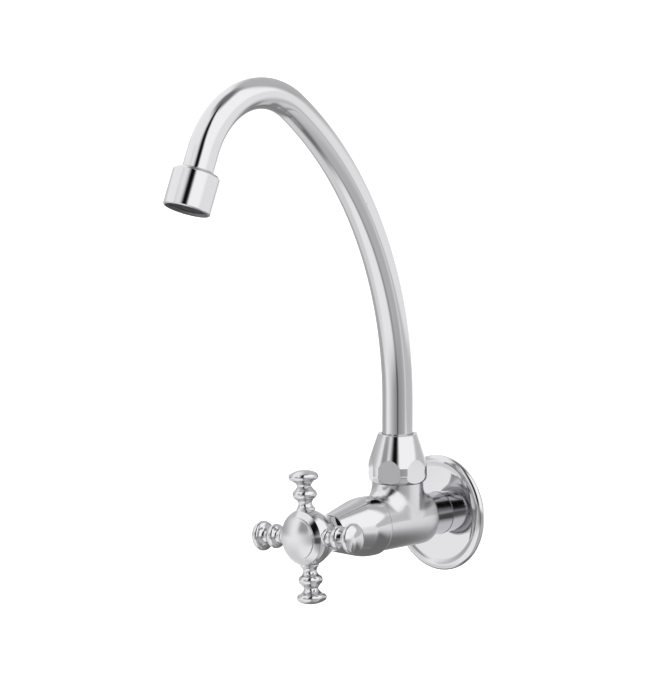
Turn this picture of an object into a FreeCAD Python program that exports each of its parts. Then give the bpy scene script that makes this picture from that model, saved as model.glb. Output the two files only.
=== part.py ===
import FreeCAD, Part
import math
import os

# A wall-mounted cold water tap: a screw-down valve with a cross handle and a swivel spout.
# Sizes are in millimetres. The origin is where the inlet axis meets the wall, +Y goes into the
# wall and +Z is up. "Out" is the distance from the wall, along -Y, and "up" is along +Z.

# Fits
FIT_CLEARANCE = 0.05
LOOSE_CLEARANCE = 0.3

# Inlet tail and neck
INLET_THREAD_RADIUS = 10.48
INLET_THREAD_LENGTH = 16.0
INLET_THREAD_PITCH = 1.814
INLET_THREAD_DEPTH = 1.16
INLET_THREAD_CREST = 0.5
INLET_THREAD_RUNOUT = 1.5
INLET_BORE_RADIUS = 6.5
NECK_RADIUS = 11.0

# Wall flange
FLANGE_RADIUS = 30.3
FLANGE_HEIGHT = 2.5
FLANGE_RIM_HEIGHT = 0.9
FLANGE_ROLL_WIDTH = 3.3
FLANGE_ROLL_HEIGHT = 3.2
FLANGE_ROLL_SWELL = 0.45
FLANGE_FACE_INSET = 6.8
FLANGE_FACE_HEIGHT = 2.2
FLANGE_DIP = 0.3
FLANGE_WALL = 1.0
FLANGE_LIP = 0.9

# Barrel and spout boss
BARREL_RADIUS = 14.1
BARREL_BACK_OUT = 15.6
BARREL_BACK_ROUND = 2.6
BARREL_LENGTH = 38.4
SPOUT_AXIS_OUT = 34.1
BOSS_RADIUS = 13.4
BOSS_ROOT_RADIUS = 13.9
BOSS_TOP_UP = 20.3
CROTCH_BLEND = 5.6
SIDE_BLEND = 30.0
BOSS_THREAD_RADIUS = 11.6
BOSS_THREAD_LENGTH = 7.7
SOCKET_RADIUS = 9.5
SOCKET_DEPTH = 13.5
PORT_RADIUS = 7.0

# Valve seat and chamber
ORIFICE_RADIUS = 5.5
ORIFICE_LENGTH = 5.0
SEAT_OUT = 23.0
SEAT_LIP_WIDTH = 1.7
SEAT_LIP_HEIGHT = 1.5
CHAMBER_RADIUS = 10.3
VALVE_LIFT = 4.5

# Jumper valve
SEAT_WASHER_OVERHANG = 0.7
SEAT_WASHER_THICKNESS = 3.0
JUMPER_PLATE_RADIUS = 8.5
JUMPER_PLATE_THICKNESS = 2.2
JUMPER_STEM_RADIUS = 3.0
JUMPER_STEM_LENGTH = 22.0
JUMPER_STUD_RADIUS = 2.2
JUMPER_STUD_TIP = 0.6
WASHER_NUT_FLATS = 7.0
WASHER_NUT_THICKNESS = 2.6

# Bonnet
BONNET_RADIUS = 15.5
BONNET_LENGTH = 31.2
BONNET_BACK_RADIUS = 13.9
BONNET_BACK_ROUND = 2.4
BONNET_SHOULDER = 6.5
BONNET_EASE = 4.6
BONNET_FRONT_RADIUS = 9.7
BONNET_FRONT_RIM = 0.8
BONNET_THREAD_RADIUS = 11.2
BONNET_THREAD_LENGTH = 9.5
BONNET_WASHER_THICKNESS = 0.8
BONNET_WASHER_WIDTH = 1.8
FOOT_CHAMBER_LENGTH = 7.0

# Spindle
FOOT_RADIUS = 8.6
FOOT_LENGTH = 5.0
FOOT_STOP_GAP = 0.5
SPINDLE_THREAD_RADIUS = 7.0
SPINDLE_THREAD_LENGTH = 15.0
SPINDLE_RADIUS = 4.8
SPINDLE_NECK_LENGTH = 4.0
SQUARE_SIDE = 6.6
SQUARE_LENGTH = 9.0
SCREW_HOLE_DEPTH = 12.0

# Gland
GLAND_RADIUS = 7.6
PACKING_LENGTH = 5.0
GLAND_HEAD_FLATS = 16.4
GLAND_HEAD_LENGTH = 3.8
GLAND_HEAD_CHAMFER = 0.8
GLAND_CORNER_ANGLE = 8.0

# Handle hub
HANDLE_GAP = 1.4
SKIRT_RADIUS = 10.2
SKIRT_ROUND = 0.8
HUB_RADIUS = 15.0
ARM_AXIS_FORWARD = 11.5
HUB_SHOULDER_FORWARD = 17.0
HUB_SHOULDER_RADIUS = 13.6
HUB_FRONT_FORWARD = 18.8
HUB_FRONT_RADIUS = 11.0
HUB_SKIRT_SWELL = 0.5
HUB_SHOULDER_SWELL = 0.3
HUB_WEB = 2.6
HUB_POCKET_RADIUS = 8.0
HANDLE_TURN = -5.3

# Handle arms, measured from the handle's axis
ARM_PLUG_RADIUS = 4.8
ARM_PLUG_START = 10.4
ARM_PLUG_END = 14.9
ARM_STUD_RADIUS = 2.4
ARM_STUD_LENGTH = 1.8
ARM_NECK_RADIUS = 3.6
ARM_NECK_AT = 17.6
ARM_BEAD_RADIUS = 6.3
ARM_BEAD_AT = 21.9
ARM_BEAD_HALF_WIDTH = 2.3
ARM_WAIST_RADIUS = 3.6
ARM_WAIST_AT = 26.0
ARM_KNOB_RADIUS = 7.7
ARM_KNOB_AT = 30.9
ARM_KNOB_HALF_WIDTH = 1.8
ARM_KNOB_ROUND = 1.0
ARM_TIP_AT = 34.4

# The arms, by their angle from straight up, turning towards +X
ARM_ANGLES = {"top": 0.0, "right": 90.0, "bottom": 180.0, "left": 270.0}

# Handle screw and cap
SCREW_RADIUS = 2.5
SCREW_HEAD_RADIUS = 4.4
SCREW_HEAD_HEIGHT = 2.4
SCREW_SLOT_WIDTH = 1.2
SCREW_SLOT_DEPTH = 1.2
SCREW_WASHER_RADIUS = 4.8
SCREW_WASHER_THICKNESS = 0.9
SCREW_ENGAGEMENT = 10.0
CAP_RADIUS = 10.7
CAP_HEIGHT = 3.0
CAP_EDGE = 0.7
CAP_WALL = 1.4
CAP_SKIRT_LENGTH = 3.0

# Spout tail and nut
TUBE_RADIUS = 8.0
TUBE_WALL = 1.2
FERRULE_BOTTOM_GAP = 0.8
FERRULE_BORE_RADIUS = 6.3
FERRULE_COLLAR_RADIUS = 10.5
FERRULE_COLLAR_HEIGHT = 2.6
FERRULE_CUP_WALL = 1.25
FERRULE_CUP_DEPTH = 7.8
O_RING_GROOVE_WIDTH = 2.4
O_RING_GROOVE_DEPTH = 1.6
O_RING_LOWER_AT = 3.4
O_RING_UPPER_AT = 8.9
SLIP_RING_THICKNESS = 0.8
SLIP_RING_RADIUS = 11.2
NUT_FLATS = 30.6
NUT_TURNED_RADIUS = 16.2
NUT_GAP = 0.2
NUT_HEIGHT = 25.2
NUT_BOTTOM_RADIUS = 14.2
NUT_BOTTOM_ROUND = 2.6
NUT_SHOULDER = 8.1
NUT_SWELL = 0.3
NUT_TOP_RADIUS = 10.3
NUT_TOP_RIM = 0.5
NUT_CORNER_ANGLE = 54.0
NUT_CAVITY_HEADROOM = 0.8

# Spout path: upright, a long bend, a short bend and a straight end
SPOUT_UPRIGHT_TOP_UP = 61.9
SPOUT_LONG_BEND_RADIUS = 196.1
SPOUT_LONG_BEND_ANGLE = 53.6
SPOUT_SHORT_BEND_RADIUS = 42.5
SPOUT_END_ANGLE = 157.0
SPOUT_END_LENGTH = 31.0

# Nozzle, measured back from the outlet plane
HOUSING_RADIUS = 12.1
HOUSING_LENGTH = 19.8
HOUSING_EDGE = 0.5
HOUSING_BEVEL_LENGTH = 1.3
HOUSING_BEVEL_DEPTH = 0.9
HOUSING_LIP_RADIUS = 9.4
HOUSING_LIP_THICKNESS = 1.8
HOUSING_MOUTH_DEPTH = 1.2
HOUSING_MOUTH_RIM = 0.4
BUSH_RADIUS = 10.3
BUSH_STANDOUT = 0.9
BUSH_TOP_RADIUS = 8.9
BUSH_BOTTOM = 8.0
BUSH_LEDGE = 2.0
BUSH_LEDGE_RADIUS = 6.5
AERATOR_WASHER_THICKNESS = 1.4
AERATOR_RIM = 1.4
AERATOR_PLATE_AT = 2.4
AERATOR_PLATE_THICKNESS = 1.2
AERATOR_HOLE_RADIUS = 0.8
AERATOR_HOLE_CIRCLES = (0.0, 2.9, 5.6)
AERATOR_HOLE_COUNTS = (1, 6, 12)
SCREEN_THICKNESS = 0.5
SCREEN_HOLE_RADIUS = 0.55
SCREEN_HOLE_CIRCLES = (0.0, 1.9, 3.8, 5.7, 7.5)
SCREEN_HOLE_COUNTS = (1, 6, 12, 18, 24)

# Places along the inlet axis, worked out from the sizes above
BARREL_FRONT_OUT = BARREL_BACK_OUT + BARREL_LENGTH
SEAT_FLOOR_OUT = SEAT_OUT - SEAT_LIP_HEIGHT
BONNET_RIM_OUT = BARREL_FRONT_OUT + FIT_CLEARANCE
BONNET_BACK_OUT = BARREL_FRONT_OUT + BONNET_WASHER_THICKNESS
BONNET_FRONT_OUT = BONNET_BACK_OUT + BONNET_LENGTH
BONNET_TAIL_OUT = BONNET_BACK_OUT - BONNET_THREAD_LENGTH
FOOT_CHAMBER_END_OUT = BONNET_TAIL_OUT + FOOT_CHAMBER_LENGTH
FOOT_FRONT_OUT = FOOT_CHAMBER_END_OUT - VALVE_LIFT - FOOT_STOP_GAP
FOOT_BACK_OUT = FOOT_FRONT_OUT - FOOT_LENGTH
THREAD_END_OUT = FOOT_FRONT_OUT + SPINDLE_THREAD_LENGTH
THREAD_BORE_END_OUT = THREAD_END_OUT + VALVE_LIFT + FOOT_STOP_GAP
STUFFING_BOX_OUT = THREAD_BORE_END_OUT + SPINDLE_NECK_LENGTH
GLAND_BACK_OUT = STUFFING_BOX_OUT + PACKING_LENGTH
GLAND_FRONT_OUT = BONNET_FRONT_OUT + GLAND_HEAD_LENGTH
SKIRT_BACK_OUT = GLAND_FRONT_OUT + HANDLE_GAP
ARM_AXIS_OUT = SKIRT_BACK_OUT + ARM_AXIS_FORWARD
HUB_SHOULDER_OUT = SKIRT_BACK_OUT + HUB_SHOULDER_FORWARD
HUB_FRONT_OUT = SKIRT_BACK_OUT + HUB_FRONT_FORWARD
SCREW_SEAT_OUT = HUB_FRONT_OUT - CAP_SKIRT_LENGTH - SCREW_WASHER_THICKNESS
SQUARE_FRONT_OUT = SCREW_SEAT_OUT - HUB_WEB - LOOSE_CLEARANCE
SQUARE_BACK_OUT = SQUARE_FRONT_OUT - SQUARE_LENGTH
WASHER_FRONT_OUT = SEAT_OUT + SEAT_WASHER_THICKNESS
PLATE_FRONT_OUT = WASHER_FRONT_OUT + JUMPER_PLATE_THICKNESS
STEM_TIP_OUT = PLATE_FRONT_OUT + JUMPER_STEM_LENGTH
BONNET_WASHER_HOLE = BONNET_THREAD_RADIUS + FIT_CLEARANCE
BONNET_WASHER_RADIUS = BONNET_WASHER_HOLE + BONNET_WASHER_WIDTH
SEAT_LIP_RADIUS = ORIFICE_RADIUS + SEAT_LIP_WIDTH
SEAT_WASHER_RADIUS = SEAT_LIP_RADIUS + SEAT_WASHER_OVERHANG

# Places along the spout axis
BOSS_END_UP = BOSS_TOP_UP + BOSS_THREAD_LENGTH
SOCKET_FLOOR_UP = BOSS_END_UP - SOCKET_DEPTH
FERRULE_BOTTOM_UP = SOCKET_FLOOR_UP + FERRULE_BOTTOM_GAP
COLLAR_BOTTOM_UP = BOSS_END_UP + SLIP_RING_THICKNESS
COLLAR_TOP_UP = COLLAR_BOTTOM_UP + FERRULE_COLLAR_HEIGHT
THRUST_TOP_UP = COLLAR_TOP_UP + SLIP_RING_THICKNESS
TUBE_BOTTOM_UP = COLLAR_BOTTOM_UP
CUP_TOP_UP = TUBE_BOTTOM_UP + FERRULE_CUP_DEPTH
NUT_BOTTOM_UP = BOSS_TOP_UP + NUT_GAP
NUT_TOP_UP = NUT_BOTTOM_UP + NUT_HEIGHT
CUP_RADIUS = TUBE_RADIUS + FERRULE_CUP_WALL
SPIGOT_RADIUS = SOCKET_RADIUS - FIT_CLEARANCE
TUBE_BORE_RADIUS = TUBE_RADIUS - TUBE_WALL

# Places along the nozzle axis
BUSH_TOP = HOUSING_LENGTH + BUSH_STANDOUT
TUBE_END = BUSH_BOTTOM + BUSH_LEDGE
AERATOR_TOP = BUSH_BOTTOM - AERATOR_WASHER_THICKNESS
AERATOR_RADIUS = BUSH_RADIUS - FIT_CLEARANCE
AERATOR_PLATE_BACK = HOUSING_LIP_THICKNESS + AERATOR_PLATE_AT + AERATOR_PLATE_THICKNESS

# Geometry helpers: how far the middle of a quarter round lies inside its corner, as a share of
# its radius, and how an edge is told apart by points along it
FULL_TURN = 360.0
HEX_SIDES = 6
ROUND_INSET = 1 - math.sqrt(1 / 2)
EDGE_SAMPLES = 6
EDGE_TOLERANCE = 0.003
UPWARD = FreeCAD.Vector(0, 0, 1)


def line_to(radius, along):
    """A straight stretch of a turned outline."""
    return [(radius, along)]


def arc_to(mid_radius, mid_along, radius, along):
    """A round stretch of a turned outline, through a middle point."""
    return [(mid_radius, mid_along), (radius, along)]


def dome_to(start_radius, start, apex):
    """A spherical stretch of a turned outline, from a rim to a point on the axis."""
    height = apex - start
    sphere = (start_radius**2 + height**2) / (2 * height)
    half_angle = math.asin(start_radius / sphere) / 2
    return arc_to(
        sphere * math.sin(half_angle), apex - sphere * (1 - math.cos(half_angle)), 0, apex
    )


def round_to(start_radius, start, radius, along):
    """A quarter round of a turned outline, from a flat end to a side."""
    return arc_to(
        radius - (radius - start_radius) * ROUND_INSET, start + (along - start) * ROUND_INSET, radius, along
    )


def section_point(place):
    """A point of a turned outline in the local X-Z plane."""
    return FreeCAD.Vector(place[0], 0, place[1])


def turned(start, *stretches):
    """Turn a closed outline of (radius, along) places about the local Z axis."""
    edges = []
    here = start
    for stretch in list(stretches) + [line_to(*start)]:
        there = stretch[-1]
        if section_point(here).isEqual(section_point(there), Part.Precision.confusion()):
            continue
        if len(stretch) == 1:
            edges.append(Part.LineSegment(section_point(here), section_point(there)).toShape())
        else:
            bend = Part.Arc(section_point(here), section_point(stretch[0]), section_point(there))
            edges.append(bend.toShape())
        here = there
    face = Part.Face(Part.Wire(edges))
    return face.revolve(FreeCAD.Vector(), UPWARD, FULL_TURN)


def ring(inner, outer, bottom, top):
    """A plain ring, or a disc when the inner radius is zero."""
    return turned(
        (inner, bottom), line_to(outer, bottom), line_to(outer, top), line_to(inner, top)
    )


def hexagon(flats, bottom, top, corner_angle):
    """An upright hexagonal bar with one corner at the given angle from local X."""
    corner = flats / 2 / math.cos(math.pi / HEX_SIDES)
    points = []
    for side in range(HEX_SIDES + 1):
        angle = math.radians(corner_angle) + 2 * math.pi * side / HEX_SIDES
        points.append(FreeCAD.Vector(corner * math.cos(angle), corner * math.sin(angle), bottom))
    face = Part.Face(Part.makePolygon(points))
    return face.extrude(FreeCAD.Vector(0, 0, top - bottom))


def cut_all(solid, tools):
    """Take every tool away from a solid and tidy the faces."""
    return solid.cut(tools).removeSplitter()


def on_inlet_axis(shape):
    """Lay a piece turned about local Z along the inlet axis, pointing out of the wall."""
    shape.Placement = FreeCAD.Placement(
        FreeCAD.Vector(), FreeCAD.Rotation(FreeCAD.Vector(1, 0, 0), FULL_TURN / 4)
    )
    return shape


def on_spout_axis(shape):
    """Stand a piece turned about local Z on the spout axis."""
    shape.Placement = FreeCAD.Placement(FreeCAD.Vector(0, -SPOUT_AXIS_OUT, 0), FreeCAD.Rotation())
    return shape


def spout_point(reach, up):
    """A point in the spout's plane, with its reach from the spout axis."""
    return FreeCAD.Vector(0, -SPOUT_AXIS_OUT - reach, up)


def bend_point(centre, radius, angle):
    """A point on a bend of the spout, where the tube leans by the given angle from upright."""
    lean = math.radians(angle)
    return spout_point(centre[0] - radius * math.cos(lean), centre[1] + radius * math.sin(lean))


def long_bend_centre():
    """Reach and height of the long bend's centre."""
    return SPOUT_LONG_BEND_RADIUS, SPOUT_UPRIGHT_TOP_UP


def short_bend_centre():
    """Reach and height of the short bend's centre, on the line where the bends meet."""
    reach, up = long_bend_centre()
    offset = SPOUT_LONG_BEND_RADIUS - SPOUT_SHORT_BEND_RADIUS
    lean = math.radians(SPOUT_LONG_BEND_ANGLE)
    return reach - offset * math.cos(lean), up + offset * math.sin(lean)


def end_direction():
    """Unit vector along the straight end of the spout, towards the outlet."""
    lean = math.radians(SPOUT_END_ANGLE)
    return FreeCAD.Vector(0, -math.sin(lean), math.cos(lean))


def end_start():
    """Where the straight end of the spout begins."""
    return bend_point(short_bend_centre(), SPOUT_SHORT_BEND_RADIUS, SPOUT_END_ANGLE)


def outlet_centre():
    """Centre of the outlet plane."""
    return end_start() + end_direction() * SPOUT_END_LENGTH


def on_nozzle_axis(shape):
    """Place a piece turned about local Z on the nozzle axis, measured back from the outlet."""
    shape.Placement = FreeCAD.Placement(outlet_centre(), FreeCAD.Rotation(UPWARD, -end_direction()))
    return shape


def spout_path():
    """The tube's centre line: a straight run, two tangent bends and a straight run."""
    meet_angle = SPOUT_LONG_BEND_ANGLE
    start = spout_point(0, TUBE_BOTTOM_UP)
    upright_top = spout_point(0, SPOUT_UPRIGHT_TOP_UP)
    long_middle = bend_point(long_bend_centre(), SPOUT_LONG_BEND_RADIUS, meet_angle / 2)
    meet = bend_point(long_bend_centre(), SPOUT_LONG_BEND_RADIUS, meet_angle)
    short_angle = (meet_angle + SPOUT_END_ANGLE) / 2
    short_middle = bend_point(short_bend_centre(), SPOUT_SHORT_BEND_RADIUS, short_angle)
    tube_end = outlet_centre() - end_direction() * TUBE_END
    return Part.Wire(
        [
            Part.LineSegment(start, upright_top).toShape(),
            Part.Arc(upright_top, long_middle, meet).toShape(),
            Part.Arc(meet, short_middle, end_start()).toShape(),
            Part.LineSegment(end_start(), tube_end).toShape(),
        ]
    )


def swept_bar(radius):
    """A round bar along the spout's path."""
    circle = Part.Circle(spout_point(0, TUBE_BOTTOM_UP), UPWARD, radius)
    return spout_path().makePipeShell([Part.Wire([circle.toShape()])], True, False)


def inlet_thread():
    """Outline of the inlet tail: a chamfered end and a row of ridges up to the wall plane."""
    root = INLET_THREAD_RADIUS - INLET_THREAD_DEPTH
    flank = (INLET_THREAD_PITCH - INLET_THREAD_CREST) / 2
    tail_end = -INLET_THREAD_LENGTH
    threaded = INLET_THREAD_LENGTH - INLET_THREAD_DEPTH - INLET_THREAD_RUNOUT
    stretches = [line_to(root, tail_end)]
    stretches.append(line_to(INLET_THREAD_RADIUS, tail_end + INLET_THREAD_DEPTH))
    for turn in range(int(threaded / INLET_THREAD_PITCH)):
        crest_end = tail_end + INLET_THREAD_DEPTH + INLET_THREAD_CREST + turn * INLET_THREAD_PITCH
        stretches.append(line_to(INLET_THREAD_RADIUS, crest_end))
        stretches.append(line_to(root, crest_end + flank))
        stretches.append(line_to(INLET_THREAD_RADIUS, crest_end + 2 * flank))
    stretches.append(line_to(INLET_THREAD_RADIUS, 0))
    return stretches


def body_casting():
    """The outside of the valve body: tail, neck and barrel, with the spout boss blended in."""
    shoulder_radius = BARREL_RADIUS - BARREL_BACK_ROUND
    side_out = BARREL_BACK_OUT + BARREL_BACK_ROUND
    barrel = turned(
        (0, -INLET_THREAD_LENGTH),
        *inlet_thread(),
        line_to(NECK_RADIUS, 0),
        line_to(NECK_RADIUS, BARREL_BACK_OUT),
        line_to(shoulder_radius, BARREL_BACK_OUT),
        round_to(shoulder_radius, BARREL_BACK_OUT, BARREL_RADIUS, side_out),
        line_to(BARREL_RADIUS, BARREL_FRONT_OUT),
        line_to(0, BARREL_FRONT_OUT),
    )
    boss = turned(
        (0, 0),
        line_to(BOSS_ROOT_RADIUS, 0),
        line_to(BOSS_RADIUS, BOSS_TOP_UP),
        line_to(BOSS_THREAD_RADIUS, BOSS_TOP_UP),
        line_to(BOSS_THREAD_RADIUS, BOSS_END_UP),
        line_to(0, BOSS_END_UP),
    )
    casting = on_inlet_axis(barrel).fuse(on_spout_axis(boss)).removeSplitter()
    reach = casting.BoundBox.DiagonalLength
    front = blended_quarter(casting, -SPOUT_AXIS_OUT - reach, reach)
    back = blended_quarter(casting, -SPOUT_AXIS_OUT, reach)
    half = front.fuse(back)
    return half.fuse(half.mirror(FreeCAD.Vector(), FreeCAD.Vector(1, 0, 0))).removeSplitter()


def blended_quarter(casting, start, reach):
    """The casting's quarter at +X, in a box from a place along Y, blended at the boss's root."""
    box = Part.makeBox(reach, reach, 2 * reach, FreeCAD.Vector(0, start, -reach))
    quarter = casting.common(box)
    roots = [edge for edge in quarter.Edges if is_boss_root(edge)]
    radii = [CROTCH_BLEND, SIDE_BLEND]
    if roots[0].Vertexes[0].X > roots[0].Vertexes[-1].X:
        radii.reverse()
    return quarter.makeFillet(*radii, roots)


def is_boss_root(edge):
    """Whether an edge is where the boss meets the barrel."""
    for point in edge.discretize(EDGE_SAMPLES):
        draft = (BOSS_ROOT_RADIUS - BOSS_RADIUS) * point.z / BOSS_TOP_UP
        from_boss = math.hypot(point.x, point.y + SPOUT_AXIS_OUT) - BOSS_ROOT_RADIUS + draft
        from_barrel = math.hypot(point.x, point.z) - BARREL_RADIUS
        if max(abs(from_boss), abs(from_barrel)) > EDGE_TOLERANCE:
            return False
    return True


def valve_body():
    """The tee casting with its waterway, valve seat, bonnet socket and spout socket."""
    waterway = turned(
        (0, -INLET_THREAD_LENGTH),
        line_to(INLET_BORE_RADIUS, -INLET_THREAD_LENGTH),
        line_to(INLET_BORE_RADIUS, SEAT_OUT - ORIFICE_LENGTH),
        line_to(ORIFICE_RADIUS, SEAT_OUT - ORIFICE_LENGTH),
        line_to(ORIFICE_RADIUS, SEAT_OUT),
        line_to(SEAT_LIP_RADIUS, SEAT_OUT),
        line_to(SEAT_LIP_RADIUS, SEAT_FLOOR_OUT),
        line_to(CHAMBER_RADIUS, SEAT_FLOOR_OUT),
        line_to(CHAMBER_RADIUS, BONNET_TAIL_OUT),
        line_to(BONNET_WASHER_HOLE, BONNET_TAIL_OUT),
        line_to(BONNET_WASHER_HOLE, BARREL_FRONT_OUT),
        line_to(0, BARREL_FRONT_OUT),
    )
    port = ring(0, PORT_RADIUS, 0, SOCKET_FLOOR_UP)
    socket = ring(0, SOCKET_RADIUS, SOCKET_FLOOR_UP, BOSS_END_UP)
    tools = [on_inlet_axis(waterway), on_spout_axis(port), on_spout_axis(socket)]
    return cut_all(body_casting(), tools)


def wall_flange():
    """A pressed cover plate: a nearly flat face, a shallow dip and a rolled rim."""
    hole = NECK_RADIUS + FIT_CLEARANCE
    roll_radius = FLANGE_RADIUS - FLANGE_ROLL_WIDTH
    face_radius = FLANGE_RADIUS - FLANGE_FACE_INSET
    inner_rim_radius = FLANGE_RADIUS - FLANGE_LIP
    roll_middle = (FLANGE_RADIUS + roll_radius) / 2 + FLANGE_ROLL_SWELL
    roll_middle_height = (FLANGE_RIM_HEIGHT + FLANGE_ROLL_HEIGHT) / 2 + FLANGE_ROLL_SWELL
    dip_radius = (roll_radius + face_radius) / 2
    dip_height = (FLANGE_ROLL_HEIGHT + FLANGE_FACE_HEIGHT) / 2 - FLANGE_DIP
    plate = turned(
        (hole, FLANGE_HEIGHT - FLANGE_WALL),
        line_to(face_radius, FLANGE_FACE_HEIGHT - FLANGE_WALL),
        line_to(roll_radius, FLANGE_ROLL_HEIGHT - FLANGE_WALL),
        line_to(inner_rim_radius, FLANGE_RIM_HEIGHT),
        line_to(inner_rim_radius, 0),
        line_to(FLANGE_RADIUS, 0),
        line_to(FLANGE_RADIUS, FLANGE_RIM_HEIGHT),
        arc_to(roll_middle, roll_middle_height, roll_radius, FLANGE_ROLL_HEIGHT),
        arc_to(dip_radius, dip_height, face_radius, FLANGE_FACE_HEIGHT),
        line_to(hole, FLANGE_HEIGHT),
    )
    return on_inlet_axis(plate)


def bonnet():
    """The turned bell on the barrel, bored for the spindle and the gland."""
    side_out = BONNET_RIM_OUT + BONNET_BACK_ROUND
    shoulder_out = side_out + BONNET_SHOULDER
    taper_end_out = BONNET_FRONT_OUT - BONNET_FRONT_RIM
    lean = math.atan2(BONNET_RADIUS - BONNET_FRONT_RADIUS, taper_end_out - shoulder_out)
    ease_depth = BONNET_EASE * math.tan(lean / 4)
    ease_radius = BONNET_RADIUS - ease_depth * math.cos(lean / 2)
    ease_out = shoulder_out - ease_depth * math.sin(lean / 2)
    taper_radius = BONNET_RADIUS - BONNET_EASE * math.sin(lean)
    taper_out = shoulder_out + BONNET_EASE * math.cos(lean)
    outside = turned(
        (0, BONNET_RIM_OUT),
        line_to(BONNET_BACK_RADIUS, BONNET_RIM_OUT),
        round_to(BONNET_BACK_RADIUS, BONNET_RIM_OUT, BONNET_RADIUS, side_out),
        line_to(BONNET_RADIUS, shoulder_out - BONNET_EASE),
        arc_to(ease_radius, ease_out, taper_radius, taper_out),
        line_to(BONNET_FRONT_RADIUS, taper_end_out),
        line_to(BONNET_FRONT_RADIUS, BONNET_FRONT_OUT),
        line_to(0, BONNET_FRONT_OUT),
    )
    recess = ring(0, BONNET_WASHER_RADIUS + FIT_CLEARANCE, BONNET_RIM_OUT, BONNET_BACK_OUT)
    shank = ring(0, BONNET_THREAD_RADIUS, BONNET_TAIL_OUT, BONNET_BACK_OUT)
    foot_bore = FOOT_RADIUS + LOOSE_CLEARANCE
    thread_bore = SPINDLE_THREAD_RADIUS + FIT_CLEARANCE
    shaft_bore = SPINDLE_RADIUS + FIT_CLEARANCE
    bore = turned(
        (0, BONNET_TAIL_OUT),
        line_to(foot_bore, BONNET_TAIL_OUT),
        line_to(foot_bore, FOOT_CHAMBER_END_OUT),
        line_to(thread_bore, FOOT_CHAMBER_END_OUT),
        line_to(thread_bore, THREAD_BORE_END_OUT),
        line_to(shaft_bore, THREAD_BORE_END_OUT),
        line_to(shaft_bore, STUFFING_BOX_OUT),
        line_to(GLAND_RADIUS, STUFFING_BOX_OUT),
        line_to(GLAND_RADIUS, BONNET_FRONT_OUT),
        line_to(0, BONNET_FRONT_OUT),
    )
    return on_inlet_axis(cut_all(outside.cut(recess).fuse(shank), [bore]))


def bonnet_washer():
    """The fibre joint between the bonnet and the barrel, inside the bonnet's rim."""
    joint = ring(BONNET_WASHER_HOLE, BONNET_WASHER_RADIUS, BARREL_FRONT_OUT, BONNET_BACK_OUT)
    return on_inlet_axis(joint)


def gland_packing():
    """The seal round the spindle at the bottom of the stuffing box."""
    inner = SPINDLE_RADIUS + FIT_CLEARANCE
    outer = GLAND_RADIUS - FIT_CLEARANCE
    return on_inlet_axis(ring(inner, outer, STUFFING_BOX_OUT, GLAND_BACK_OUT))


def gland_nut():
    """The nut that presses the packing, with a small hexagonal head."""
    corner = GLAND_HEAD_FLATS / 2 / math.cos(math.pi / HEX_SIDES)
    head = turned(
        (0, BONNET_FRONT_OUT),
        line_to(corner, BONNET_FRONT_OUT),
        line_to(corner, GLAND_FRONT_OUT - GLAND_HEAD_CHAMFER),
        line_to(corner - GLAND_HEAD_CHAMFER, GLAND_FRONT_OUT),
        line_to(0, GLAND_FRONT_OUT),
    )
    flats = hexagon(GLAND_HEAD_FLATS, BONNET_FRONT_OUT, GLAND_FRONT_OUT, GLAND_CORNER_ANGLE)
    stem = ring(0, GLAND_RADIUS - FIT_CLEARANCE, GLAND_BACK_OUT, BONNET_FRONT_OUT)
    hole = ring(0, SPINDLE_RADIUS + FIT_CLEARANCE, GLAND_BACK_OUT, GLAND_FRONT_OUT)
    return on_inlet_axis(cut_all(head.common(flats).fuse(stem), [hole]))


def spindle():
    """The rising screw: foot, thread, shaft and a square end that carries the handle."""
    shaft = turned(
        (0, FOOT_BACK_OUT),
        line_to(FOOT_RADIUS, FOOT_BACK_OUT),
        line_to(FOOT_RADIUS, FOOT_FRONT_OUT),
        line_to(SPINDLE_THREAD_RADIUS, FOOT_FRONT_OUT),
        line_to(SPINDLE_THREAD_RADIUS, THREAD_END_OUT),
        line_to(SPINDLE_RADIUS, THREAD_END_OUT),
        line_to(SPINDLE_RADIUS, SQUARE_BACK_OUT),
        line_to(0, SQUARE_BACK_OUT),
    )
    stem_bore = JUMPER_STEM_RADIUS + FIT_CLEARANCE
    stem_hole = ring(0, stem_bore, FOOT_BACK_OUT, STEM_TIP_OUT + LOOSE_CLEARANCE)
    screw_bottom = SQUARE_FRONT_OUT - SCREW_HOLE_DEPTH
    screw_hole = ring(0, SCREW_RADIUS + FIT_CLEARANCE, screw_bottom, SQUARE_FRONT_OUT)
    square = square_bar(SQUARE_SIDE, SQUARE_BACK_OUT, SQUARE_FRONT_OUT)
    return on_handle_turn(cut_all(shaft.fuse(square), [stem_hole, screw_hole]))


def square_bar(side, bottom, top):
    """An upright square bar on the local Z axis."""
    return Part.makeBox(side, side, top - bottom, FreeCAD.Vector(-side / 2, -side / 2, bottom))


def on_handle_turn(shape):
    """Lay a piece along the inlet axis, turned to where the handle rests."""
    turn = FreeCAD.Rotation(UPWARD, -HANDLE_TURN)
    lay = FreeCAD.Rotation(FreeCAD.Vector(1, 0, 0), FULL_TURN / 4)
    shape.Placement = FreeCAD.Placement(FreeCAD.Vector(), lay.multiply(turn))
    return shape


def jumper_valve():
    """The valve plate with its stem in the spindle and its stud through the washer."""
    stud_tip = SEAT_OUT - WASHER_NUT_THICKNESS - JUMPER_STUD_TIP
    plate = turned(
        (0, stud_tip),
        line_to(JUMPER_STUD_RADIUS, stud_tip),
        line_to(JUMPER_STUD_RADIUS, WASHER_FRONT_OUT),
        line_to(JUMPER_PLATE_RADIUS, WASHER_FRONT_OUT),
        line_to(JUMPER_PLATE_RADIUS, PLATE_FRONT_OUT),
        line_to(JUMPER_STEM_RADIUS, PLATE_FRONT_OUT),
        line_to(JUMPER_STEM_RADIUS, STEM_TIP_OUT),
        line_to(0, STEM_TIP_OUT),
    )
    return on_inlet_axis(plate)


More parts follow.
